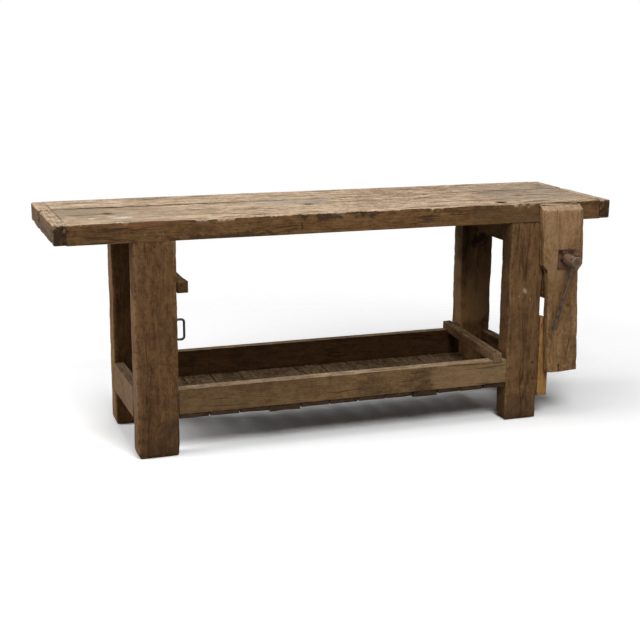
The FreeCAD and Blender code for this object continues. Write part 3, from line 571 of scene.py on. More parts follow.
@dataclass(frozen=True)
class OldIron:
    """Forged iron under brown rust or black scale.

    Attributes:
        name: the material's name.
        scale: colour of the dark scale.
        rust: colour of the rust.
        bright: colour of metal that hands have rubbed.
        rusted: how far rust covers the scale, from 0 to 1.
        marks: dark places seen on the photographed bench.
    """

    name: str
    scale: Colour
    rust: Colour
    bright: Colour
    rusted: float
    marks: tuple[Mark, ...] = ()

    # Where rust starts and ends, how far a full cover moves that, then shares and the surface's own values
    RUST_SPAN = (0.72, 0.82)
    RUST_MOVE = 0.4
    PIT_SPAN = (0.35, 0.2)
    BRIGHT_SHARE = 0.45
    PATCH_SHARE = 0.7
    PIT_SHARE = 0.4
    PATCH_RELIEF = 0.6
    PIT_RELIEF = 0.5
    BUMP_DEPTH = 0.0009
    BUMP_STRENGTH = 0.7
    METALLIC = 0.75
    RUST_DULLING = 0.6
    ROUGHNESS = 0.5
    RUST_ROUGHNESS = 0.32

    def material(self) -> bpy.types.Material:
        """Make the iron.

        Returns:
            The finished material.
        """
        shader = Shader(bpy.data.materials.new(self.name))
        spot = shader.place()
        patch = RUST_PATCHES.plain(shader, spot)
        pits = RUST_PITS.plain(shader, spot)
        start, end = (value - self.RUST_MOVE * self.rusted for value in self.RUST_SPAN)
        cover = (patch * self.PATCH_SHARE + pits * self.PIT_SHARE).ramp(start, end)
        colour = shader.mix(cover, self.scale, self.rust)
        rubbed = RUBBED_METAL.read(shader, spot)
        colour = shader.mix(rubbed * self.BRIGHT_SHARE, colour, self.bright)
        colour = shader.mix(pits.ramp(*self.PIT_SPAN), colour, self.scale)
        for mark in self.marks:
            colour = shader.mix(mark.cover(shader, spot, pits), colour, mark.colour)
        relief = patch * self.PATCH_RELIEF + pits * self.PIT_RELIEF
        sockets = {
            "Base Color": colour,
            "Metallic": self.METALLIC - cover * self.RUST_DULLING,
            "Roughness": self.ROUGHNESS + cover * self.RUST_ROUGHNESS,
            "Normal": shader.bump(relief, self.BUMP_DEPTH, self.BUMP_STRENGTH),
        }
        return shader.surface(sockets)


@dataclass(frozen=True)
class PegWood:
    """Wood of pegs and dowels, which show only their small dark ends.

    Attributes:
        name: the material's name.
        dark: colour of the pores.
        light: colour of the wood.
    """

    name: str
    dark: Colour
    light: Colour

    ROUGHNESS = 0.85
    BUMP_DEPTH = 0.001
    BUMP_STRENGTH = 0.6

    def material(self) -> bpy.types.Material:
        """Make the wood.

        Returns:
            The finished material.
        """
        shader = Shader(bpy.data.materials.new(self.name))
        pores = PEG_PORES.read(shader, shader.place())
        sockets = {
            "Base Color": shader.mix(pores, self.dark, self.light),
            "Roughness": self.ROUGHNESS,
            "Normal": shader.bump(pores, self.BUMP_DEPTH, self.BUMP_STRENGTH),
        }
        return shader.surface(sockets)


# Worn boards

# How far wear reaches from an arris, then the level and the swing of uneven wear
EDGE_REACH = 0.014
UNEVEN_LEVEL = 0.7
UNEVEN_SWING = 0.6


def closeness(away: float, reach: float) -> float:
    """1 at no distance, falling to 0 at the reach."""
    return max(0.0, 1.0 - away / reach)


def lumps(spot: Vector, start: float) -> float:
    """How far chance noise rises above a start value."""
    return max(0.0, noise.noise(spot) - start)


def uneven(spot: Vector) -> float:
    """A chance factor that varies over a surface."""
    return UNEVEN_LEVEL + UNEVEN_SWING * noise.noise(spot)


def arris_share(spot: Vector, edges: list[tuple[Vector, Vector]]) -> float:
    """How near a point is to the sharp edges of a board.

    Args:
        spot: the point.
        edges: ends of the edges.

    Returns:
        1 on an edge and 0 at the reach of an edge or further.
    """
    nearest = EDGE_REACH
    for start, end in edges:
        run = end - start
        share = min(1.0, max(0.0, (spot - start).dot(run) / run.length_squared))
        nearest = min(nearest, (spot - start - run * share).length)
    return closeness(nearest, EDGE_REACH)


class Grain(Enum):
    """Which way the fibres of a board run, as the order of its axes: along, across, through."""

    LENGTHWISE = (0, 1, 2)
    BACKWARD = (1, 0, 2)
    UPRIGHT = (2, 0, 1)


@dataclass
class WornBoard:
    """A board with rounded, chewed arrises that stands for one CAD node.

    Attributes:
        node: the CAD node that it replaces.
        low: lowest corner of the part that shows.
        high: highest corner.
        grain: which way its fibres run.
        finish: its material.
        slot: the record's material slot; not used.
        body: the body that it rides on.
        arris: radius of its rounded edges.
        chew: how deep its edges are eaten away.
        waves: how far its faces are uneven.
        ragged_ends: how far its ends are broken.
        snug: faces that meet another board and stay sharp, as axis numbers with the side -1 or 1.
        pitch: length of the pieces that its edges are divided into.
        outline: its face as seen from the front, where that isn't a rectangle.
        adjust: a last change to the sharp blank, such as a slope.
        wear: extra wear by place, such as a torn edge.
        tone: how light its wood is, from 0 to 1, or None for chance.
    """

    node: str
    low: Vector
    high: Vector
    grain: Grain
    finish: bpy.types.Material
    slot: str
    body: str = "frame"
    arris: float = 0.003
    chew: float = 0.003
    waves: float = 0.0012
    ragged_ends: float = 0.0
    snug: tuple[tuple[int, int], ...] = ()
    pitch: float = 0.018
    outline: tuple[tuple[float, float], ...] = ()
    adjust: Optional[Callable[[bmesh.types.BMesh], None]] = None
    wear: Optional[Callable[[Vector], Vector]] = None
    tone: Optional[float] = None
    chance: random.Random = field(init=False)
    edges: list[tuple[Vector, Vector]] = field(init=False, default_factory=list)

    # Limits and shares of the blank, then features per metre and levels of the wear
    SNUG_LIMIT = 1e-4
    CUT_LIMIT = 1e-6
    CROSS_PITCH = 0.045
    CROSS_CHANCE = 0.3
    INSET_SHARE = 0.3
    SHARP_ANGLE = math.radians(55)
    NOISE_SHIFT = 90.0
    GRAIN_SHIFTS = ((0, 60), (-0.09, 0.09), (0.03, 0.11))
    WAVE_PITCH = 5.0
    BITE_PITCH = 13.0
    BITE_LEAST = 0.1
    GOUGE_PITCH = 6.0
    GOUGE_START = 0.32
    GOUGE_DEPTH = 2.2
    CHIP_PITCH = 47.0
    CHIP_START = 0.15
    END_REACH = 0.004
    END_PITCH = 55.0
    END_START = -0.4

    def __post_init__(self) -> None:
        """Seed the board's own chance numbers from its name."""
        self.chance = random.Random(self.node)

    def blank(self) -> bmesh.types.BMesh:
        """The sharp-edged board.

        Returns:
            A closed mesh.
        """
        mesh = bmesh.new()
        if self.outline:
            corners = [mesh.verts.new((x, self.low.y, z)) for x, z in self.outline]
            face = mesh.faces.new(corners)
            swept = bmesh.ops.extrude_face_region(mesh, geom=[face])
            moved = [item for item in swept["geom"] if isinstance(item, bmesh.types.BMVert)]
            bmesh.ops.translate(mesh, verts=moved, vec=(0.0, self.high.y - self.low.y, 0.0))
        else:
            bmesh.ops.create_cube(mesh, size=1.0)
            bmesh.ops.scale(mesh, verts=mesh.verts, vec=self.high - self.low)
            bmesh.ops.translate(mesh, verts=mesh.verts, vec=(self.low + self.high) / 2)
        if self.adjust:
            self.adjust(mesh)
        bmesh.ops.recalc_face_normals(mesh, faces=mesh.faces)
        return mesh

    def snug_axes(self, spot: Vector) -> list[int]:
        """Axes of the snug faces that a point lies on."""
        return [axis for axis, side in self.snug
                if abs(spot[axis] - (self.high if side > 0 else self.low)[axis]) < self.SNUG_LIMIT]

    def is_snug(self, edge: bmesh.types.BMEdge) -> bool:
        """Whether a sharp edge lies on a snug face."""
        first, second = (self.snug_axes(vert.co) for vert in edge.verts)
        return any(axis in second for axis in first)

    def cross_cuts(self, mesh: bmesh.types.BMesh) -> None:
        """Divide the board into short lengths, so that its edges can be uneven.

        Args:
            mesh: the board in work.
        """
        size = self.high - self.low
        for axis in range(3):
            pitch = self.pitch if axis == self.grain.value[0] else self.CROSS_PITCH
            count = int(size[axis] / pitch)
            normal = Vector((0.0, 0.0, 0.0))
            normal[axis] = 1.0
            for number in range(1, count):
                spot = self.low.copy()
                chance = self.chance.uniform(-self.CROSS_CHANCE, self.CROSS_CHANCE)
                spot[axis] += size[axis] * (number + chance) / count
                parts = list(mesh.verts) + list(mesh.edges) + list(mesh.faces)
                bmesh.ops.bisect_plane(mesh, geom=parts, dist=self.CUT_LIMIT, plane_co=spot, plane_no=normal)

    def erode(self, mesh: bmesh.types.BMesh) -> None:
        """Eat the surface away, most along the arrises and never outwards.

        Args:
            mesh: the board in work.
        """
        shift = Vector([self.chance.uniform(0, self.NOISE_SHIFT) for _ in range(3)])
        along = self.grain.value[0]
        mesh.normal_update()
        moves = []
        for vert in mesh.verts:
            spot = vert.co + shift
            wave = 0.5 + 0.5 * noise.noise(spot * self.WAVE_PITCH)
            bite = lumps(spot * self.BITE_PITCH, 0.0)
            bite += lumps(spot * self.GOUGE_PITCH + shift, self.GOUGE_START) * self.GOUGE_DEPTH
            bite += lumps(spot * self.CHIP_PITCH, self.CHIP_START)
            near = arris_share(vert.co, self.edges)
            depth = self.waves * wave + self.chew * near * (self.BITE_LEAST + bite)
            move = -vert.normal * depth
            for axis in self.snug_axes(vert.co):
                move[axis] = 0.0
            past_low, past_high = vert.co[along] - self.low[along], self.high[along] - vert.co[along]
            if self.ragged_ends and min(past_low, past_high) < self.END_REACH:
                torn = lumps(spot * self.END_PITCH, self.END_START) * self.ragged_ends
                move[along] += torn if past_low < self.END_REACH else -torn
            if self.wear:
                move += self.wear(vert.co)
            moves.append((vert, move))
        for vert, move in moves:
            vert.co += move

    def build(self) -> bpy.types.Object:
        """Make the board and put it in the place of its CAD node.

        Returns:
            The finished piece.
        """
        mesh = self.blank()
        sharp = [edge for edge in mesh.edges if not self.is_snug(edge)]
        self.edges = [(edge.verts[0].co.copy(), edge.verts[1].co.copy()) for edge in sharp]
        margin = min(EDGE_REACH, self.INSET_SHARE * min(self.high - self.low))
        bmesh.ops.inset_individual(mesh, faces=list(mesh.faces), thickness=margin, use_even_offset=True)
        bmesh.ops.bevel(mesh, geom=sharp, offset=self.arris, offset_type="OFFSET", segments=2, profile=0.5,
                        affect="EDGES", material=-1, clamp_overlap=True)
        self.cross_cuts(mesh)
        self.erode(mesh)
        for face in mesh.faces:
            face.smooth = True
        data = bpy.data.meshes.new(f"worn_{self.node}")
        mesh.to_mesh(data)
        mesh.free()
        piece = bpy.data.objects.new(f"worn_{self.node}", data)
        bpy.context.scene.collection.objects.link(piece)
        return piece

    def dress(self, piece: bpy.types.Object) -> bpy.types.Object:
        """Give the board its grain, material and place in the frame.

        Args:
            piece: the built board.

        Returns:
            The same piece.
        """
        data = piece.data
        data.set_sharp_from_angle(angle=self.SHARP_ANGLE)
        middle = (self.low + self.high) / 2
        shifts = [self.chance.uniform(*span) for span in self.GRAIN_SHIFTS]
        tone = self.chance.uniform(0.0, 1.0) if self.tone is None else self.tone
        for name, kind in (("grain", "FLOAT_VECTOR"), ("tone", "FLOAT"), ("edge", "FLOAT")):
            data.attributes.new(name, kind, "POINT")
        along = []
        wear = []
        for vert in data.vertices:
            local = vert.co - middle
            along += [local[axis] + shift for axis, shift in zip(self.grain.value, shifts)]
            wear.append(arris_share(vert.co, self.edges))
        data.attributes["grain"].data.foreach_set("vector", along)
        data.attributes["tone"].data.foreach_set("value", [tone] * len(wear))
        data.attributes["edge"].data.foreach_set("value", wear)
        data.materials.clear()
        data.materials.append(self.finish)
        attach(piece, self.body)
        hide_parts(self.node)
        LOG.info("%s: %d faces", piece.name, len(data.polygons))
        return piece

    def make(self) -> bpy.types.Object:
        """Build and dress the board."""
        return self.dress(self.build())


def carve(piece: bpy.types.Object, cutter: bmesh.types.BMesh) -> None:
    """Cut a shape out of a piece.

    Args:
        piece: the piece to cut.
        cutter: closed mesh of what is taken away.
    """
    data = bpy.data.meshes.new("cutter")
    cutter.to_mesh(data)
    cutter.free()
    tool = bpy.data.objects.new("cutter", data)
    bpy.context.scene.collection.objects.link(tool)
    change = piece.modifiers.new("cut", "BOOLEAN")
    change.operation = "DIFFERENCE"
    change.solver = "EXACT"
    change.object = tool
    graph = bpy.context.evaluated_depsgraph_get()
    result = bpy.data.meshes.new_from_object(piece.evaluated_get(graph))
    piece.modifiers.remove(change)
    piece.data = result
    bpy.data.objects.remove(tool)


@lru_cache(maxsize=None)
def node_box(node: str) -> tuple[tuple[float, ...], tuple[float, ...]]:
    """The box of a CAD node, which is measured only once."""
    low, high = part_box(node)
    return tuple(low), tuple(high)


def corners(node: str) -> tuple[Vector, Vector]:
    """Lowest and highest corner of a CAD node."""
    low, high = node_box(node)
    return Vector(low), Vector(high)


def bores() -> list[Triple]:
    """Places of the holdfast holes, which are the record's bores."""
    return [tuple(mount["pos_m"]) for mount in frame["record"]["mounts"] if mount["kind"] == "bore"]


# Lines and faces of the bench that wear and marks follow

SEAM_LINE = (corners("top_front_plank")[1].y + corners("top_rear_plank")[0].y) / 2
CAP_LINE = corners("right_cap_front")[0].x
TOP_LEVEL = corners("top_front_plank")[1].z
JOINT_LEVEL = corners("top_front_plank")[0].z
FRONT_FACE = corners("top_front_plank")[0].y
CHOP_FACE = corners("vise_chop")[0].y
RAIL_FACE = corners("tray_front_rail")[0].y
PLATE_MIDDLE = (corners("screw_plate")[0] + corners("screw_plate")[1]) / 2
SCREW_END = (PLATE_MIDDLE.x, CAD_BOX[0][1], PLATE_MIDDLE.z)
BAR_MIDDLE = (corners("tray_end_bar")[0] + corners("tray_end_bar")[1]) / 2
STRETCHER_FACE = corners("left_stretcher")[0].x
REAR_LEG_FACE = corners("rear_right_leg")[0].x


# The top

@dataclass
class BenchTop:
    """Two thick planks with battens across their ends and three holdfast holes.

    Attributes:
        wood: finish of the planks.
        end_wood: finish of the end caps.
        hole_radius: radius of the holdfast holes.
        rim: how far the rims of the holes are worn wide.
        cap_gap: how far each end cap has shrunk from the seam.
        cap_notch: how far the outer corners of the caps are worn off at the seam.
        seam_open: how far each plank has shrunk from the seam at the left end.
        tear: depth of the torn front arris.
        seam_reach: how far from the seam the planks are worn.
        seam_start: X from which the seam opens to the left.
        seam_run: length over which it opens.
        seam_least: share of the opening that is left at the right end.
        notch_reach: how far from the seam the caps are worn.
        tear_reach: how far the torn arris reaches.
        seam_pitch: uneven places per metre of the seam.
        seam_row: row of the noise that the seam follows.
        tear_pitch: tears per metre.
        tear_row: row of the noise that the tears follow.
        tear_start: noise value at which a tear starts.
        tear_fall: fall of a tear as a share of its depth.
        splinter_pitch: splinters per metre, along and upright.
        splinter_row: row of the noise that the splinters follow.
        splinter_least: share of the tear between splinters.
        splinter_swing: how far splinters change that share.
        hole_cut: height of the shape that cuts a hole.
        hole_sides: number of its sides.
    """

    wood: bpy.types.Material
    end_wood: bpy.types.Material
    hole_radius: float = 0.013
    rim: float = 0.004
    cap_gap: float = 0.005
    cap_notch: float = 0.014
    seam_open: float = 0.005
    tear: float = 0.028
    seam_reach: float = 0.014
    seam_start: float = 0.1
    seam_run: float = 0.6
    seam_least: float = 0.15
    notch_reach: float = 0.030
    tear_reach: float = 0.020
    seam_pitch: float = 17.0
    seam_row: float = 3.0
    tear_pitch: float = 5.5
    tear_row: float = 11.0
    tear_start: float = -0.2
    tear_fall: float = 0.7
    splinter_pitch: Span = (62.0, 20.0)
    splinter_row: float = 5.0
    splinter_least: float = 0.25
    splinter_swing: float = 1.5
    hole_cut: float = 0.2
    hole_sides: int = 40

    def seam_wear(self, spot: Vector) -> Vector:
        """How the planks have shrunk apart, most at the left end.

        Args:
            spot: a point on a plank.

        Returns:
            Its move.
        """
        near = closeness(abs(spot.y - SEAM_LINE), self.seam_reach)
        share = min(1.0, max(self.seam_least, (self.seam_start - spot.x) / self.seam_run))
        chance = uneven(Vector((spot.x * self.seam_pitch, self.seam_row, 0.0)))
        side = -1.0 if spot.y < SEAM_LINE else 1.0
        return Vector((0.0, side * near * share * chance * self.seam_open, 0.0))

    def notch_wear(self, spot: Vector) -> Vector:
        """How the outer corners of the caps are worn off at the seam.

        Args:
            spot: a point on a cap.

        Returns:
            Its move.
        """
        near = closeness(abs(spot.y - SEAM_LINE), self.notch_reach)
        outer = max(0.0, (abs(spot.x) - CAP_LINE) / (CAD_BOX[1][0] - CAP_LINE))
        return Vector((-math.copysign(self.cap_notch * near * near * outer, spot.x), 0.0, 0.0))

    def front_wear(self, spot: Vector) -> Vector:
        """Wear of the front plank: the open seam and the torn front arris.

        Args:
            spot: a point on the plank.

        Returns:
            Its move.
        """
        low, high = corners("top_front_plank")
        away = Vector((0.0, spot.y - low.y, high.z - spot.z)).length
        near = closeness(away, self.tear_reach)
        torn = lumps(Vector((spot.x * self.tear_pitch, self.tear_row, 0.0)), self.tear_start)
        along, upright = self.splinter_pitch
        splinter = abs(noise.noise(Vector((spot.x * along, self.splinter_row, spot.z * upright))))
        depth = self.tear * near * torn * (self.splinter_least + self.splinter_swing * splinter)
        return self.seam_wear(spot) + Vector((0.0, depth, -self.tear_fall * depth))

    def planks(self) -> None:
        """Build both planks between the end caps."""
        left = corners("left_cap_front")[1].x
        right = corners("right_cap_front")[0].x
        for node in ("top_front_plank", "top_rear_plank"):
            low, high = corners(node)
            low.x, high.x = left, right
            wear = self.front_wear if node == "top_front_plank" else self.seam_wear
            board = WornBoard(node, low, high, Grain.LENGTHWISE, self.wood, "top_wood", arris=0.004,
                              chew=0.006, waves=0.0008, snug=((0, -1), (0, 1)), pitch=0.008, wear=wear,
                              tone=0.5)
            piece = board.build()
            if node == "top_front_plank":
                self.holes(piece)
            board.dress(piece)

    def holes(self, piece: bpy.types.Object) -> None:
        """Cut the holdfast holes and widen their rims.

        Args:
            piece: the front plank.
        """
        narrow, wide = self.hole_radius - self.rim, self.hole_radius + 2 * self.rim
        shapes = ((self.hole_radius, self.hole_radius, self.hole_cut), (narrow, wide, 3 * self.rim))
        for x, y, _ in bores():
            for lower, upper, depth in shapes:
                cutter = bmesh.new()
                bmesh.ops.create_cone(cutter, cap_ends=True, segments=self.hole_sides, radius1=lower,
                                      radius2=upper, depth=depth)
                bmesh.ops.translate(cutter, verts=cutter.verts, vec=(x, y, TOP_LEVEL))
                carve(piece, cutter)

    def caps(self) -> None:
        """Build the battens on both ends, each in two lengths."""
        for side, inner in (("left", 1), ("right", -1)):
            for end in ("front", "rear"):
                low, high = corners(f"{side}_cap_{end}")
                if end == "front":
                    high.y -= self.cap_gap
                else:
                    low.y += self.cap_gap
                WornBoard(f"{side}_cap_{end}", low, high, Grain.BACKWARD, self.end_wood, "top_wood",
                          arris=0.006, chew=0.004, waves=0.0004, snug=((0, inner),), pitch=0.010,
                          wear=self.notch_wear).make()

    def build(self) -> None:
        """Build the whole top."""
        self.planks()
        self.caps()


# The end frames

@dataclass
class EndFrames:
    """Four legs joined in pairs by stretchers and upper rails.

    Attributes:
        wood: finish of the front legs and the stretchers.
        rear_wood: finish of the rear legs and the upper rails, which are darker: a copy of the frame's wood
            with painted shade.
        foot_round: how far the lower corners of the legs are worn round.
        foot_square: share of that wear on the right-hand corners.
        foot_reach: how high that wear reaches.
        foot_pitch: uneven places per metre.
        foot_power: how closely that wear keeps to the corners.
    """

    wood: bpy.types.Material
    rear_wood: bpy.types.Material
    foot_round: float = 0.012
    foot_square: float = 0.25
    foot_reach: float = 0.030
    foot_pitch: float = 9.0
    foot_power: int = 3

    def foot_wear(self, low: Vector, high: Vector) -> Callable[[Vector], Vector]:
        """Wear of a leg's lower corners.

        Args:
            low: the leg's lowest corner.
            high: its highest corner.

        Returns:
            A function from a point on the leg to its move.
        """
        middle = (low + high) / 2

        def wear(spot: Vector) -> Vector:
            """Pull the lower corners in.

            Args:
                spot: a point on the leg.

            Returns:
                Its move.
            """
            near = closeness(spot.z - low.z, self.foot_reach)
            chance = uneven(spot * self.foot_pitch)
            move = Vector((0.0, 0.0, 0.0))
            for axis in (0, 1):
                share = (spot[axis] - middle[axis]) / (high[axis] - middle[axis])
                kept = self.foot_square if axis == 0 and share > 0 else 1.0
                move[axis] = -share ** self.foot_power * near * near * self.foot_round * chance * kept
            return move

        return wear

    def legs(self) -> None:
        """Build the four legs up to the underside of the top."""
        for end, wood in (("front", self.wood), ("rear", self.rear_wood)):
            for side in ("left", "right"):
                low, high = corners(f"{end}_{side}_leg")
                high.z = JOINT_LEVEL
                WornBoard(f"{end}_{side}_leg", low, high, Grain.UPRIGHT, wood, "frame_wood",
                          arris=0.004, chew=0.004, waves=0.0008, snug=((2, 1),), pitch=0.012,
                          wear=self.foot_wear(low, high)).make()

    def rails(self) -> None:
        """Build the stretchers and upper rails between front and rear legs."""
        for side in ("left", "right"):
            front = corners(f"front_{side}_leg")[1].y
            rear = corners(f"rear_{side}_leg")[0].y
            for part, wood in (("stretcher", self.wood), ("upper_rail", self.rear_wood)):
                low, high = corners(f"{side}_{part}")
                low.y, high.y = front, rear
                WornBoard(f"{side}_{part}", low, high, Grain.BACKWARD, wood, "frame_wood", arris=0.004,
                          snug=((1, -1), (1, 1))).make()

    def build(self) -> None:
        """Build both end frames."""
        self.legs()
        self.rails()


# The tool tray

@dataclass
class ToolTray:
    """Two rails with cross boards nailed up under them, and a bar across the right end.

    Attributes:
        rail_wood: finish of the front rail.
        rear_wood: finish of the rear rail, which is darker with dirt and painted shade.
        board_wood: finish of the cross boards.
        bar_wood: finish of the bar, a dark wood that paints the shade it sits in.
        board_count: number of cross boards.
        edge_limit: distance within which a point lies on an edge.
        notch_fit: clearance of the bar in the rails' notches.
        notch_seat: depth of the notch in the rear rail.
        notch_depth: depth of the shape that cuts a notch.
        notch_tall: its height.
    """

    rail_wood: bpy.types.Material
    rear_wood: bpy.types.Material
    board_wood: bpy.types.Material
    bar_wood: bpy.types.Material
    board_count: int = 12
    edge_limit: float = 0.001
    notch_fit: float = 0.001
    notch_seat: float = 0.010
    notch_depth: float = 0.2
    notch_tall: float = 0.1

    def slope(self) -> float:
        """Work out how the tray's floor slopes.

        Returns:
            Its rise to the back, per metre.
        """
        front = corners("tray_front_rail")[0]
        rear = corners("tray_rear_rail")[0]
        return (rear.z - front.z) / (rear.y - front.y)

    @staticmethod
    def tilted(front: float, slope: float) -> Callable[[bmesh.types.BMesh], None]:
        """A change that slopes a blank up to the back.

        Args:
            front: Y at which nothing rises.
            slope: rise per metre.

        Returns:
            A function that changes a mesh.
        """
        def tilt(mesh: bmesh.types.BMesh) -> None:
            """Raise each point by its distance to the front."""
            for vert in mesh.verts:
                vert.co.z += slope * (vert.co.y - front)

        return tilt

    def rails(self) -> None:
        """Build both rails between the legs, notched for the bar."""
        left = corners("front_left_leg")[1].x
        right = corners("front_right_leg")[0].x
        bar_low, bar_high = corners("tray_end_bar")
        slope = self.slope()
        for node, wood in (("tray_front_rail", self.rail_wood), ("tray_rear_rail", self.rear_wood)):
            low, high = corners(node)
            low.x, high.x = left, right
            bottom, back, depth = low.z, high.y, high.y - low.y

            def lift(mesh: bmesh.types.BMesh) -> None:
                """Raise the lower back edge with the floor's slope.

                Args:
                    mesh: the blank in work.
                """
                for vert in mesh.verts:
                    if vert.co.z < bottom + self.edge_limit and vert.co.y > back - self.edge_limit:
                        vert.co.z += slope * depth

            board = WornBoard(node, low, high, Grain.LENGTHWISE, wood, "tray_wood",
                              arris=0.004, chew=0.005, snug=((0, -1), (0, 1)), adjust=lift)
            piece = board.build()
            notch = bmesh.new()
            bmesh.ops.create_cube(notch, size=1.0)
            seat = bar_low.z if node == "tray_front_rail" else high.z - self.notch_seat
            width = bar_high.x - bar_low.x + self.notch_fit
            size = Vector((width, self.notch_depth, self.notch_tall))
            bmesh.ops.scale(notch, verts=notch.verts, vec=size)
            middle = Vector(((bar_low.x + bar_high.x) / 2, (low.y + high.y) / 2, seat + size.z / 2))
            bmesh.ops.translate(notch, verts=notch.verts, vec=middle)
            carve(piece, notch)
            board.dress(piece)

    def boards(self) -> None:
        """Build the sloping cross boards."""
        slope = self.slope()
        for number in range(1, self.board_count + 1):
            node = f"tray_board_{number:02d}"
            low, high = corners(node)
            high.z -= slope * (high.y - low.y)
            WornBoard(node, low, high, Grain.BACKWARD, self.board_wood, "tray_wood", arris=0.002, chew=0.003,
                      ragged_ends=0.005, adjust=self.tilted(low.y, slope)).make()

    def bar(self) -> None:
        """Build the bar across the right end, sloping with the tray."""
        low, high = corners("tray_end_bar")
        rise = corners("tray_rear_rail")[1].z - corners("tray_front_rail")[1].z
        high.z -= rise
        WornBoard("tray_end_bar", low, high, Grain.BACKWARD, self.bar_wood, "tray_wood", arris=0.003,
                  adjust=self.tilted(low.y, rise / (high.y - low.y))).make()

    def build(self) -> None:
        """Build the whole tray."""
        self.rails()
        self.boards()
        self.bar()


# The leg vise and other fittings

@dataclass
class LegVise:
    """The wooden chop and the blocks on the leg, with the iron left as its CAD nodes.

    Attributes:
        chop_wood: finish of the chop.
        block_wood: finish of the nut block and the drawer runner, a dark wood that paints the shade they sit
            in.
        new_wood: finish of the newer packing board.
        head_width: width of the chop's head.
        foot_width: width of its foot.
        shoulder_drop: upper end of the shoulders below the screw's axis.
        shoulder_tall: height of the shoulders.
        offset: how far the chop hangs to the left of the screw's axis.
        lean: its lean to the right on the way down.
        facet_fall: height of the sloping top facet.
        facet_flat: flat that is left at the back of the top.
        slot_fall: fall of the slot's edges to the right.
        cove_shares: points of the hollow shoulder, as shares of its height.
        cove_power: how hollow it is.
    """

    chop_wood: bpy.types.Material
    block_wood: bpy.types.Material
    new_wood: bpy.types.Material
    head_width: float = 0.160
    foot_width: float = 0.124
    shoulder_drop: float = 0.022
    shoulder_tall: float = 0.026
    offset: float = 0.012
    lean: float = 0.042
    facet_fall: float = 0.020
    facet_flat: float = 0.004
    slot_fall: float = 0.3
    cove_shares: tuple[float, ...] = (0.0, 0.3, 0.65, 1.0)
    cove_power: float = 1.25

    def chop_side(self, drop: float, width: float, side: int) -> tuple[float, float]:
        """X and Z of the outline's left (-1) or right (1) side, at a drop below the screw's axis."""
        middle = PLATE_MIDDLE.x - self.offset + drop * self.lean
        return middle + side * width / 2, PLATE_MIDDLE.z - drop

    def chop(self) -> None:
        """Build the chop from its outline, with the facet planed off its top."""
        low, high = corners("vise_chop")
        slope = ((self.shoulder_drop, self.head_width),)
        slope += ((self.shoulder_drop + self.shoulder_tall, self.foot_width),)
        cove = []
        for share in self.cove_shares:
            width = self.foot_width + (self.head_width - self.foot_width) * (1.0 - share) ** self.cove_power
            cove.append((self.shoulder_drop + self.shoulder_tall * share, width))
        top = ((PLATE_MIDDLE.z - high.z, self.head_width),)
        bottom = ((PLATE_MIDDLE.z - low.z, self.foot_width),)
        left = [self.chop_side(drop, width, -1) for drop, width in (*top, *cove, *bottom)]
        right = [self.chop_side(drop, width, 1) for drop, width in reversed((*top, *slope, *bottom))]

        def plane_top(mesh: bmesh.types.BMesh) -> None:
            """Cut the facet and close it.

            Args:
                mesh: the blank in work.
            """
            fall = Vector((0.0, high.y - self.facet_flat - low.y, self.facet_fall))
            normal = Vector((0.0, -fall.z, fall.y))
            spot = Vector((PLATE_MIDDLE.x, low.y, high.z - self.facet_fall))
            parts = list(mesh.verts) + list(mesh.edges) + list(mesh.faces)
            cut = bmesh.ops.bisect_plane(mesh, geom=parts, dist=WornBoard.CUT_LIMIT, plane_co=spot,
                                         plane_no=normal, clear_outer=True)
            rim = [item for item in cut["geom_cut"] if isinstance(item, bmesh.types.BMEdge)]
            bmesh.ops.contextual_create(mesh, geom=rim)

        WornBoard("vise_chop", low, high, Grain.UPRIGHT, self.chop_wood, "chop_wood", body="chop",
                  arris=0.004, chew=0.004, waves=0.0005, ragged_ends=0.005, outline=tuple(left + right),
                  adjust=plane_top).make()

    def blocks(self) -> None:
        """Build the nut block, the newer packing board and the drawer runner."""
        low, high = corners("nut_block")
        high.z = JOINT_LEVEL
        width = high.x - low.x
        post_side = low.z + width * self.slot_fall
        face = ((low.x, post_side), (low.x, high.z), (high.x, high.z), (high.x, low.z))
        WornBoard("nut_block", low, high, Grain.UPRIGHT, self.block_wood, "frame_wood", outline=face).make()
        low, high = corners("packing_board")
        right_top = high.z - (high.x - low.x) * self.slot_fall
        face = ((low.x, low.z), (low.x, high.z), (high.x, right_top), (high.x, low.z))
        WornBoard("packing_board", low, high, Grain.UPRIGHT, self.new_wood, "new_wood", chew=0.001,
                  outline=face).make()
        low, high = corners("drawer_runner")
        WornBoard("drawer_runner", low, high, Grain.BACKWARD, self.block_wood, "frame_wood").make()

    def build(self) -> None:
        """Build the wooden pieces of the vise."""
        self.chop()
        self.blocks()


@dataclass
class LooseFixings:
    """Iron and pegs that keep their CAD shape and get a finish.

    Attributes:
        rusty: finish of the vise's screw.
        plate: finish of the screw plate and its nails.
        bar: finish of the tommy bar and its knobs.
        black: finish of nails and the staple.
        peg_wood: finish of pegs and dowels.
    """

    rusty: bpy.types.Material
    plate: bpy.types.Material
    bar: bpy.types.Material
    black: bpy.types.Material
    peg_wood: bpy.types.Material

    def build(self) -> None:
        """Paint each CAD node by the slot that the record gives it."""
        paints = {"rusty_iron": self.rusty, "dark_iron": self.black, "top_wood": self.peg_wood,
                  "frame_wood": self.peg_wood}
        own = {"screw_plate": self.plate, "plate_nails": self.plate, "tommy_bar": self.bar,
               "tommy_knob_top": self.bar, "tommy_knob_bottom": self.bar}
        for entry in frame["record"]["subparts"]:
            piece = frame["nodes"][entry["node"]]
            finish = own.get(entry["node"], paints.get(entry["material_slot"]))
            if finish is None:
                continue
            piece.data.materials.clear()
            piece.data.materials.append(finish)
            LOG.info("%s: %s", piece.name, finish.name)


# The studio

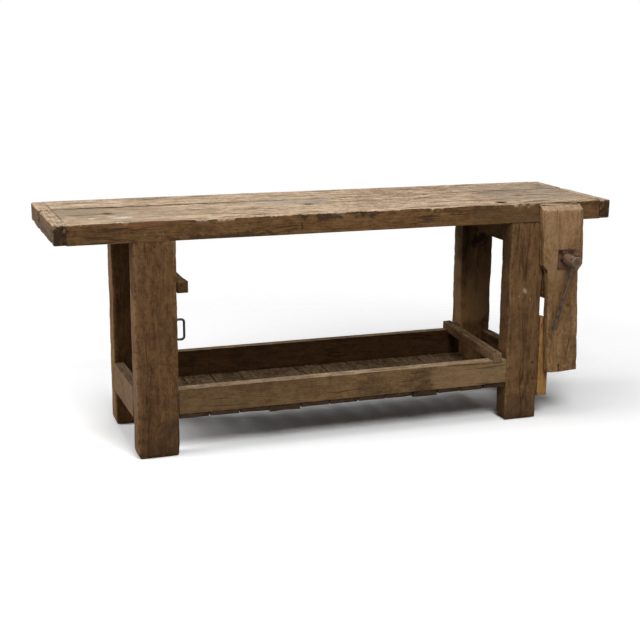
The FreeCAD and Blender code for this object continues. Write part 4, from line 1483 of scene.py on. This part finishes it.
@dataclass(frozen=True)
class Lamp:
    """A soft square lamp that looks at the bench.

    Attributes:
        name: its name.
        spot: its place.
        size: length of its sides.
        power: its power in watts.
    """

    name: str
    spot: Triple
    size: float
    power: float

    AIM = Vector((0.0, 0.0, 0.45))

    def hang(self) -> None:
        """Put the lamp in its place."""
        data = bpy.data.lights.new(self.name, "AREA")
        data.size = self.size
        data.energy = self.power
        lamp = bpy.data.objects.new(self.name, data)
        lamp.location = self.spot
        lamp.rotation_euler = (self.AIM - Vector(self.spot)).to_track_quat("-Z", "Y").to_euler()
        bpy.context.scene.collection.objects.link(lamp)


LAMPS = (
    Lamp("overhead", (-0.2, -0.4, 3.8), 3.4, 96.0),
    Lamp("key", (-0.2, -3.6, 3.8), 1.8, 184.0),
    Lamp("fill", (-4.2, 0.7, 1.7), 2.0, 175.0),
)


@dataclass
class Studio:
    """Pale floor, soft light and the photographed point of view.

    Attributes:
        eye: the camera's place.
        yaw: its turn to the right, in radians.
        pitch: its tilt down.
        roll: its turn about the line of sight.
        lens: focal length for a picture as wide as the film, in millimetres.
        film: width of the film.
        room_light: strength of the even light from all sides.
        floor_radius: radius of the floor.
        floor_fade: distances at which the floor starts and ends to fade into the white room.
        floor_lit: colour by which the floor lights the bench.
        floor_seen: colour in which the floor is seen.
    """

    eye: Triple = (-1.5348, -4.19415, 1.4496)
    yaw: float = 0.343
    pitch: float = 0.236
    roll: float = 0.007
    lens: float = 71.8
    film: float = 36.0
    room_light: float = 0.2
    floor_radius: float = 6.0
    floor_fade: Span = (1.1, 2.3)
    floor_lit: Colour = tint(0.3, 0.29, 0.28)
    floor_seen: Colour = tint(0.95, 0.95, 0.95)

    def camera(self) -> None:
        """Place the camera."""
        ahead = Vector((math.sin(self.yaw), math.cos(self.yaw), 0.0))
        right = Vector((math.cos(self.yaw), -math.sin(self.yaw), 0.0))
        plumb = Vector((0.0, 0.0, 1.0))
        sight = ahead * math.cos(self.pitch) - plumb * math.sin(self.pitch)
        upper = ahead * math.sin(self.pitch) + plumb * math.cos(self.pitch)
        side = right * math.cos(self.roll) + upper * math.sin(self.roll)
        upper = upper * math.cos(self.roll) - right * math.sin(self.roll)
        data = bpy.data.cameras.new("camera")
        data.lens = self.lens
        data.sensor_width = self.film
        camera = bpy.data.objects.new("camera", data)
        bpy.context.scene.collection.objects.link(camera)
        turn = Matrix((side, upper, -sight)).transposed()
        camera.matrix_world = Matrix.Translation(Vector(self.eye)) @ turn.to_4x4()
        bpy.context.scene.camera = camera

    def lights(self) -> None:
        """Hang the lamps and set the room's even light, in a room that is seen as white."""
        for lamp in LAMPS:
            lamp.hang()
        shader = Shader(bpy.data.worlds.new("room"))
        even = shader.node("ShaderNodeBackground", {}, {"Strength": self.room_light})
        white = shader.node("ShaderNodeBackground", {}, {"Color": tint(1.0, 1.0, 1.0)})
        mixed = shader.node("ShaderNodeMixShader", {}, {0: shader.seen(), 1: even, 2: white})
        bpy.context.scene.world = shader.show(mixed, "ShaderNodeOutputWorld")

    def floor(self) -> None:
        """Lay a pale floor that fades into the white room."""
        mesh = bmesh.new()
        bmesh.ops.create_circle(mesh, cap_ends=True, segments=64, radius=self.floor_radius)
        data = bpy.data.meshes.new("floor")
        mesh.to_mesh(data)
        mesh.free()
        floor = bpy.data.objects.new("floor", data)
        bpy.context.scene.collection.objects.link(floor)
        shader = Shader(bpy.data.materials.new("pale_floor"))
        colour = shader.mix(shader.seen(), self.floor_lit, self.floor_seen)
        pale = shader.node("ShaderNodeBsdfDiffuse", {}, {"Color": colour})
        clear = shader.node("ShaderNodeBsdfTransparent")
        fade = shader.length(shader.place()).ramp(*self.floor_fade)
        mixed = shader.node("ShaderNodeMixShader", {}, {0: fade, 1: pale, 2: clear})
        data.materials.append(shader.show(mixed))

    def build(self) -> None:
        """Set up the studio."""
        bpy.context.scene.view_settings.view_transform = "Standard"
        self.camera()
        self.lights()
        self.floor()


# Marks seen in the photo

BLACK = tint(0.010, 0.007, 0.005)
# Soot colour, which some marks also use for painted shade.
SOOT_AND_SHADE = tint(0.030, 0.019, 0.011)
KNOT = tint(0.085, 0.042, 0.020)
PAINT = tint(0.72, 0.70, 0.66)
FLECK = tint(0.46, 0.36, 0.25)
# Black discs over the holdfast holes: painted shade inside them, fading out over their worn rims.
HOLE_MARKS = tuple(Mark((x, y, TOP_LEVEL), 0.029, BLACK, 1.0, 0.12) for x, y, _ in bores())
TOP_MARKS = HOLE_MARKS + (
    Mark((-0.860, -0.105, TOP_LEVEL), 0.012, PAINT, 0.6, 0.6, edge=Layer.MOTTLE),
    Mark((-0.790, -0.085, TOP_LEVEL), 0.016, PAINT, 0.6, 0.7, edge=Layer.MOTTLE),
    Mark((-0.755, -0.110, TOP_LEVEL), 0.024, PAINT, 0.7, 0.7, (0.6, 1.0, 1.0), Layer.MOTTLE),
    Mark((-0.129, 0.062, TOP_LEVEL), 0.110, tint(0.20, 0.178, 0.160), 0.45, 0.3,
         (0.7, 1.0, 9.0), Layer.BLOTCH),
    Mark((-0.900, 0.050, TOP_LEVEL), 0.120, tint(0.13, 0.095, 0.065), 0.55, 0.5,
         (0.6, 1.0, 9.0), Layer.BLOTCH),
    Mark((-0.740, -0.030, TOP_LEVEL), 0.240, tint(0.22, 0.165, 0.110), 0.45, 0.15,
         (0.7, 1.0, 9.0), Layer.BLOTCH),
    Mark((0.820, 0.050, TOP_LEVEL), 0.240, tint(0.20, 0.165, 0.130), 0.45, 0.15,
         (0.8, 1.0, 9.0), Layer.BLOTCH),
    Mark((0.406, 0.101, TOP_LEVEL), 0.014, KNOT),
    Mark((0.725, -0.023, TOP_LEVEL), 0.018, KNOT),
    Mark((0.799, 0.054, TOP_LEVEL), 0.016, KNOT),
    Mark((-0.780, SEAM_LINE, TOP_LEVEL), 0.014, BLACK, 0.95, 0.3, (0.07, 1.0, 1.0), Layer.MOTTLE),
    Mark((-0.430, SEAM_LINE, TOP_LEVEL), 0.012, SOOT_AND_SHADE, 0.9, 0.4, (0.05, 1.0, 1.0), Layer.MOTTLE),
    Mark((0.000, SEAM_LINE, TOP_LEVEL), 0.008, SOOT_AND_SHADE, 0.6, 0.6, (0.03, 1.0, 1.0), Layer.MOTTLE),
    Mark((0.740, SEAM_LINE, TOP_LEVEL), 0.011, SOOT_AND_SHADE, 0.8, 0.7, (0.06, 1.0, 1.0), Layer.STREAK),
    Mark((-0.720, FRONT_FACE, 0.792), 0.014, tint(0.16, 0.070, 0.032), 0.7, 0.8,
         (0.10, 1.0, 1.0), Layer.STREAK),
    Mark((-0.040, FRONT_FACE, 0.790), 0.013, SOOT_AND_SHADE, 0.8, 0.8, (0.09, 1.0, 1.0), Layer.MOTTLE),
    Mark((0.420, FRONT_FACE, 0.787), 0.014, SOOT_AND_SHADE, 0.45, 0.8, (0.10, 1.0, 1.0), Layer.MOTTLE),
    Mark((0.560, FRONT_FACE, 0.765), 0.120, tint(0.07, 0.04, 0.02), 0.35, 0.5,
         (0.8, 4.0, 1.0), Layer.BLOTCH),
    Mark((-0.450, FRONT_FACE, 0.740), 0.012, SOOT_AND_SHADE, 0.6, 0.8, (0.06, 1.0, 1.0), Layer.MOTTLE),
    Mark((-0.179, FRONT_FACE, 0.757), 0.0045, SOOT_AND_SHADE, 0.9, 0.3, (1.0, 1.0, 0.22)),
    Mark((-CAP_LINE, -0.050, TOP_LEVEL), 0.0045, BLACK, 0.85, 0.4, (1.0, 0.022, 1.0)),
    Mark((CAP_LINE, -0.050, TOP_LEVEL), 0.0035, SOOT_AND_SHADE, 0.7, 0.6, (1.0, 0.022, 1.0)),
    Mark((-CAP_LINE, 0.220, TOP_LEVEL), 0.0040, BLACK, 0.8, 0.5, (1.0, 0.035, 1.0)),
    Mark((-CAP_LINE, FRONT_FACE, 0.765), 0.004, BLACK, 0.8, 0.4, (1.0, 1.0, 0.12)),
    Mark((CAP_LINE, FRONT_FACE, 0.765), 0.004, BLACK, 0.8, 0.4, (1.0, 1.0, 0.12)),
)
CAP_MARKS = (
    Mark((-0.980, FRONT_FACE, 0.768), 0.046, SOOT_AND_SHADE, 0.85, 0.5),
    Mark((0.980, FRONT_FACE, 0.766), 0.036, SOOT_AND_SHADE, 0.7, 0.6),
    Mark((-0.985, SEAM_LINE, 0.770), 0.022, BLACK, 0.95, 0.3, (0.5, 1.0, 0.4)),
    Mark((0.985, SEAM_LINE, 0.775), 0.010, BLACK, 0.9, 0.4, (0.4, 1.0, 0.3)),
)
FRAME_MARKS = (
    # Thin dark lines where the front legs meet the top: painted shade in the joint under the top.
    Mark((-0.679, FRONT_FACE, JOINT_LEVEL), 0.0035, SOOT_AND_SHADE, 0.6, 0.2, (0.04, 1.0, 1.0)),
    Mark((0.670, FRONT_FACE, JOINT_LEVEL), 0.0060, BLACK, 0.8, 0.15, (0.07, 1.0, 1.0)),
    Mark((0.711, FRONT_FACE, 0.215), 0.0055, BLACK, 0.9, 0.2),
    Mark((0.714, FRONT_FACE, 0.154), 0.0055, BLACK, 0.9, 0.2),
    Mark((-0.680, FRONT_FACE, 0.717), 0.0050, BLACK, 0.9, 0.2),
    Mark((0.666, FRONT_FACE, 0.482), 0.006, FLECK, 0.5, 0.9, (1.0, 1.0, 0.6)),
    Mark((0.648, FRONT_FACE, 0.466), 0.004, FLECK, 0.4, 0.9),
    Mark((0.690, FRONT_FACE, 0.450), 0.0045, FLECK, 0.5, 0.9),
    Mark((STRETCHER_FACE, 0.0, 0.240), 0.240, tint(0.070, 0.052, 0.034), 0.35, 0.3,
         (4.0, 1.0, 1.0), Layer.BLOTCH),
    Mark((-0.700, FRONT_FACE, 0.020), 0.090, SOOT_AND_SHADE, 0.5, 0.8, (0.7, 1.0, 0.8), Layer.BLOTCH),
    Mark((0.660, FRONT_FACE, 0.020), 0.060, SOOT_AND_SHADE, 0.4, 0.8, (0.7, 1.0, 1.0), Layer.BLOTCH),
)
SHADE_MARKS = (
    # Painted shade on the left face of the rear right leg.
    Mark((REAR_LEG_FACE, 0.210, 0.580), 0.240, SOOT_AND_SHADE, 0.45, 0.3, (4.0, 1.0, 1.0), Layer.BLOTCH),
    Mark((0.680, 0.178, 0.610), 0.035, BLACK, 0.85, 0.7, edge=Layer.MOTTLE),
    # Painted light on the front of the rear right leg.
    Mark((0.710, 0.180, 0.430), 0.220, tint(0.26, 0.150, 0.066), 0.35, 0.4, edge=Layer.BLOTCH),
)
CHOP_MARKS = (
    Mark((0.829, CHOP_FACE, 0.429), 0.013, KNOT),
    Mark((0.744, CHOP_FACE, 0.229), 0.0055, BLACK, 0.9, 0.2),
    Mark((0.800, CHOP_FACE, 0.186), 0.0050, BLACK, 0.8, 0.4, (1.0, 1.0, 0.20)),
    Mark((0.822, CHOP_FACE, 0.184), 0.0040, BLACK, 0.7, 0.4, (1.0, 1.0, 0.25)),
    Mark((0.800, CHOP_FACE, 0.470), 0.110, tint(0.12, 0.062, 0.024), 0.4, 0.8, edge=Layer.BLOTCH),
    Mark((0.800, CHOP_FACE, 0.715), 0.130, tint(0.38, 0.245, 0.135), 0.25, 0.8, edge=Layer.BLOTCH),
)
TRAY_MARKS = (
    Mark((-0.380, RAIL_FACE, 0.190), 0.300, tint(0.07, 0.040, 0.019), 0.4, 0.5, edge=Layer.BLOTCH),
    Mark((0.450, RAIL_FACE, 0.190), 0.240, tint(0.30, 0.200, 0.105), 0.3, 0.5, edge=Layer.BLOTCH),
)
BLOCK_MARKS = (
    Mark((BAR_MIDDLE.x, RAIL_FACE, 0.235), 0.070, tint(0.22, 0.14, 0.075), 0.6, 0.4, (1.0, 0.4, 1.0)),
)
# A dark line along the front ends of the tray boards: painted shade under the front rail.
BOARD_MARKS = (Mark((0.0, RAIL_FACE, 0.137), 0.030, SOOT_AND_SHADE, 0.85, 0.4, (0.01, 1.0, 1.0), Layer.MOTTLE),)

# Finishes of the bench

TOP_WOOD = AgedWood(
    name="bleached_top",
    dark=tint(0.060, 0.027, 0.009),
    light=tint(0.160, 0.086, 0.034),
    top_dark=tint(0.172, 0.111, 0.063),
    top_light=tint(0.485, 0.368, 0.256),
    grime=tint(0.045, 0.026, 0.014),
    worn=tint(0.34, 0.22, 0.12),
    stain=0.4,
    split=0.85,
    rings=110.0,
    marks=TOP_MARKS,
)
FRAME_WOOD = AgedWood(
    name="brown_frame",
    dark=tint(0.064, 0.031, 0.012),
    light=tint(0.180, 0.098, 0.043),
    top_dark=tint(0.13, 0.080, 0.042),
    top_light=tint(0.30, 0.21, 0.12),
    grime=tint(0.028, 0.014, 0.006),
    worn=tint(0.24, 0.145, 0.066),
    stain=0.5,
    split=0.5,
    streaky=0.5,
    marks=FRAME_MARKS,
)
# Copy of the frame's wood with darker tops, grime and arrises: painted shade under the top on the rear legs
# and upper rails.
SHADE_WOOD = AgedWood(
    name="shaded_frame",
    dark=tint(0.068, 0.033, 0.011),
    light=tint(0.185, 0.096, 0.037),
    top_dark=tint(0.09, 0.052, 0.026),
    top_light=tint(0.22, 0.14, 0.075),
    grime=tint(0.016, 0.008, 0.004),
    worn=tint(0.19, 0.11, 0.050),
    split=0.5,
    streaky=0.5,
    marks=SHADE_MARKS,
)
# Near-black wood of the tray's rear rail: dirt and painted shade inside the tray, with lighter tops.
DIRT_AND_SHADE_WOOD = AgedWood(
    name="sooty_shaded_rail",
    dark=tint(0.016, 0.007, 0.002),
    light=tint(0.048, 0.021, 0.006),
    top_dark=tint(0.10, 0.062, 0.032),
    top_light=tint(0.28, 0.195, 0.11),
    grime=tint(0.010, 0.005, 0.002),
    worn=tint(0.14, 0.085, 0.042),
    split=0.6,
)
# Dark wood that paints the shade on the nut block behind the chop, the drawer runner and the tray's end bar.
BLOCK_WOOD = AgedWood(
    name="shaded_blocks",
    dark=tint(0.030, 0.014, 0.005),
    light=tint(0.092, 0.046, 0.016),
    top_dark=tint(0.06, 0.034, 0.016),
    top_light=tint(0.15, 0.092, 0.048),
    grime=tint(0.012, 0.006, 0.003),
    worn=tint(0.12, 0.068, 0.030),
    split=0.5,
    streaky=0.5,
    marks=BLOCK_MARKS,
)
CAP_WOOD = AgedWood(
    name="end_caps",
    dark=tint(0.041, 0.020, 0.008),
    light=tint(0.106, 0.061, 0.028),
    top_dark=tint(0.17, 0.115, 0.070),
    top_light=tint(0.46, 0.35, 0.24),
    grime=tint(0.028, 0.016, 0.009),
    worn=tint(0.30, 0.20, 0.11),
    marks=CAP_MARKS,
)
TRAY_WOOD = AgedWood(
    name="tray_rails",
    dark=tint(0.082, 0.043, 0.018),
    light=tint(0.215, 0.130, 0.060),
    top_dark=tint(0.17, 0.110, 0.060),
    top_light=tint(0.42, 0.31, 0.20),
    grime=tint(0.032, 0.018, 0.009),
    worn=tint(0.31, 0.21, 0.115),
    stain=0.4,
    split=0.6,
    streaky=0.55,
    marks=TRAY_MARKS,
)
BOARD_WOOD = AgedWood(
    name="tray_boards",
    dark=tint(0.060, 0.034, 0.016),
    light=tint(0.15, 0.095, 0.050),
    top_dark=tint(0.042, 0.025, 0.012),
    top_light=tint(0.125, 0.082, 0.046),
    grime=tint(0.018, 0.010, 0.005),
    worn=tint(0.17, 0.11, 0.06),
    split=0.5,
    marks=BOARD_MARKS,
)
CHOP_WOOD = AgedWood(
    name="vise_chop",
    dark=tint(0.135, 0.070, 0.026),
    light=tint(0.34, 0.205, 0.098),
    top_dark=tint(0.18, 0.130, 0.085),
    top_light=tint(0.36, 0.28, 0.20),
    grime=tint(0.065, 0.033, 0.014),
    worn=tint(0.36, 0.23, 0.115),
    stain=0.4,
    split=0.45,
    streaky=0.5,
    marks=CHOP_MARKS,
)
NEW_WOOD = AgedWood(
    name="newer_board",
    dark=tint(0.24, 0.115, 0.032),
    light=tint(0.40, 0.215, 0.070),
    top_dark=tint(0.24, 0.125, 0.040),
    top_light=tint(0.42, 0.25, 0.10),
    grime=tint(0.12, 0.058, 0.020),
    worn=tint(0.42, 0.25, 0.095),
    stain=0.25,
    split=0.3,
)
PEG_WOOD = PegWood("pegs", tint(0.030, 0.015, 0.006), tint(0.13, 0.070, 0.028))
SCREW_IRON = OldIron(
    name="rusty_screw",
    scale=tint(0.050, 0.033, 0.024),
    rust=tint(0.140, 0.082, 0.050),
    bright=tint(0.20, 0.145, 0.105),
    rusted=0.7,
    marks=(Mark(SCREW_END, 0.017, tint(0.040, 0.022, 0.014), 0.75, 0.3, (1.0, 4.0, 1.0)),),
)
PLATE_IRON = OldIron(
    name="rusty_plate",
    scale=tint(0.026, 0.013, 0.008),
    rust=tint(0.100, 0.036, 0.014),
    bright=tint(0.11, 0.060, 0.038),
    rusted=0.6,
)
BAR_IRON = OldIron(
    name="worn_bar",
    scale=tint(0.032, 0.022, 0.016),
    rust=tint(0.078, 0.042, 0.023),
    bright=tint(0.13, 0.092, 0.066),
    rusted=0.5,
)
BLACK_IRON = OldIron(
    name="black_iron",
    scale=tint(0.020, 0.017, 0.015),
    rust=tint(0.075, 0.042, 0.025),
    bright=tint(0.10, 0.085, 0.070),
    rusted=0.45,
)


def main() -> None:
    """Build the dressed bench and the studio."""
    logging.basicConfig(level=logging.INFO, format="%(name)s: %(message)s")
    frame_wood = FRAME_WOOD.material()
    shade_wood = SHADE_WOOD.material()
    dirt_and_shade_wood = DIRT_AND_SHADE_WOOD.material()
    block_wood = BLOCK_WOOD.material()
    irons = [finish.material() for finish in (SCREW_IRON, PLATE_IRON, BAR_IRON, BLACK_IRON)]
    LooseFixings(*irons, PEG_WOOD.material()).build()
    BenchTop(TOP_WOOD.material(), CAP_WOOD.material()).build()
    EndFrames(frame_wood, shade_wood).build()
    ToolTray(TRAY_WOOD.material(), dirt_and_shade_wood, BOARD_WOOD.material(), block_wood).build()
    LegVise(CHOP_WOOD.material(), block_wood, NEW_WOOD.material()).build()
    Studio().build()


if __name__ == "__main__":
    main()
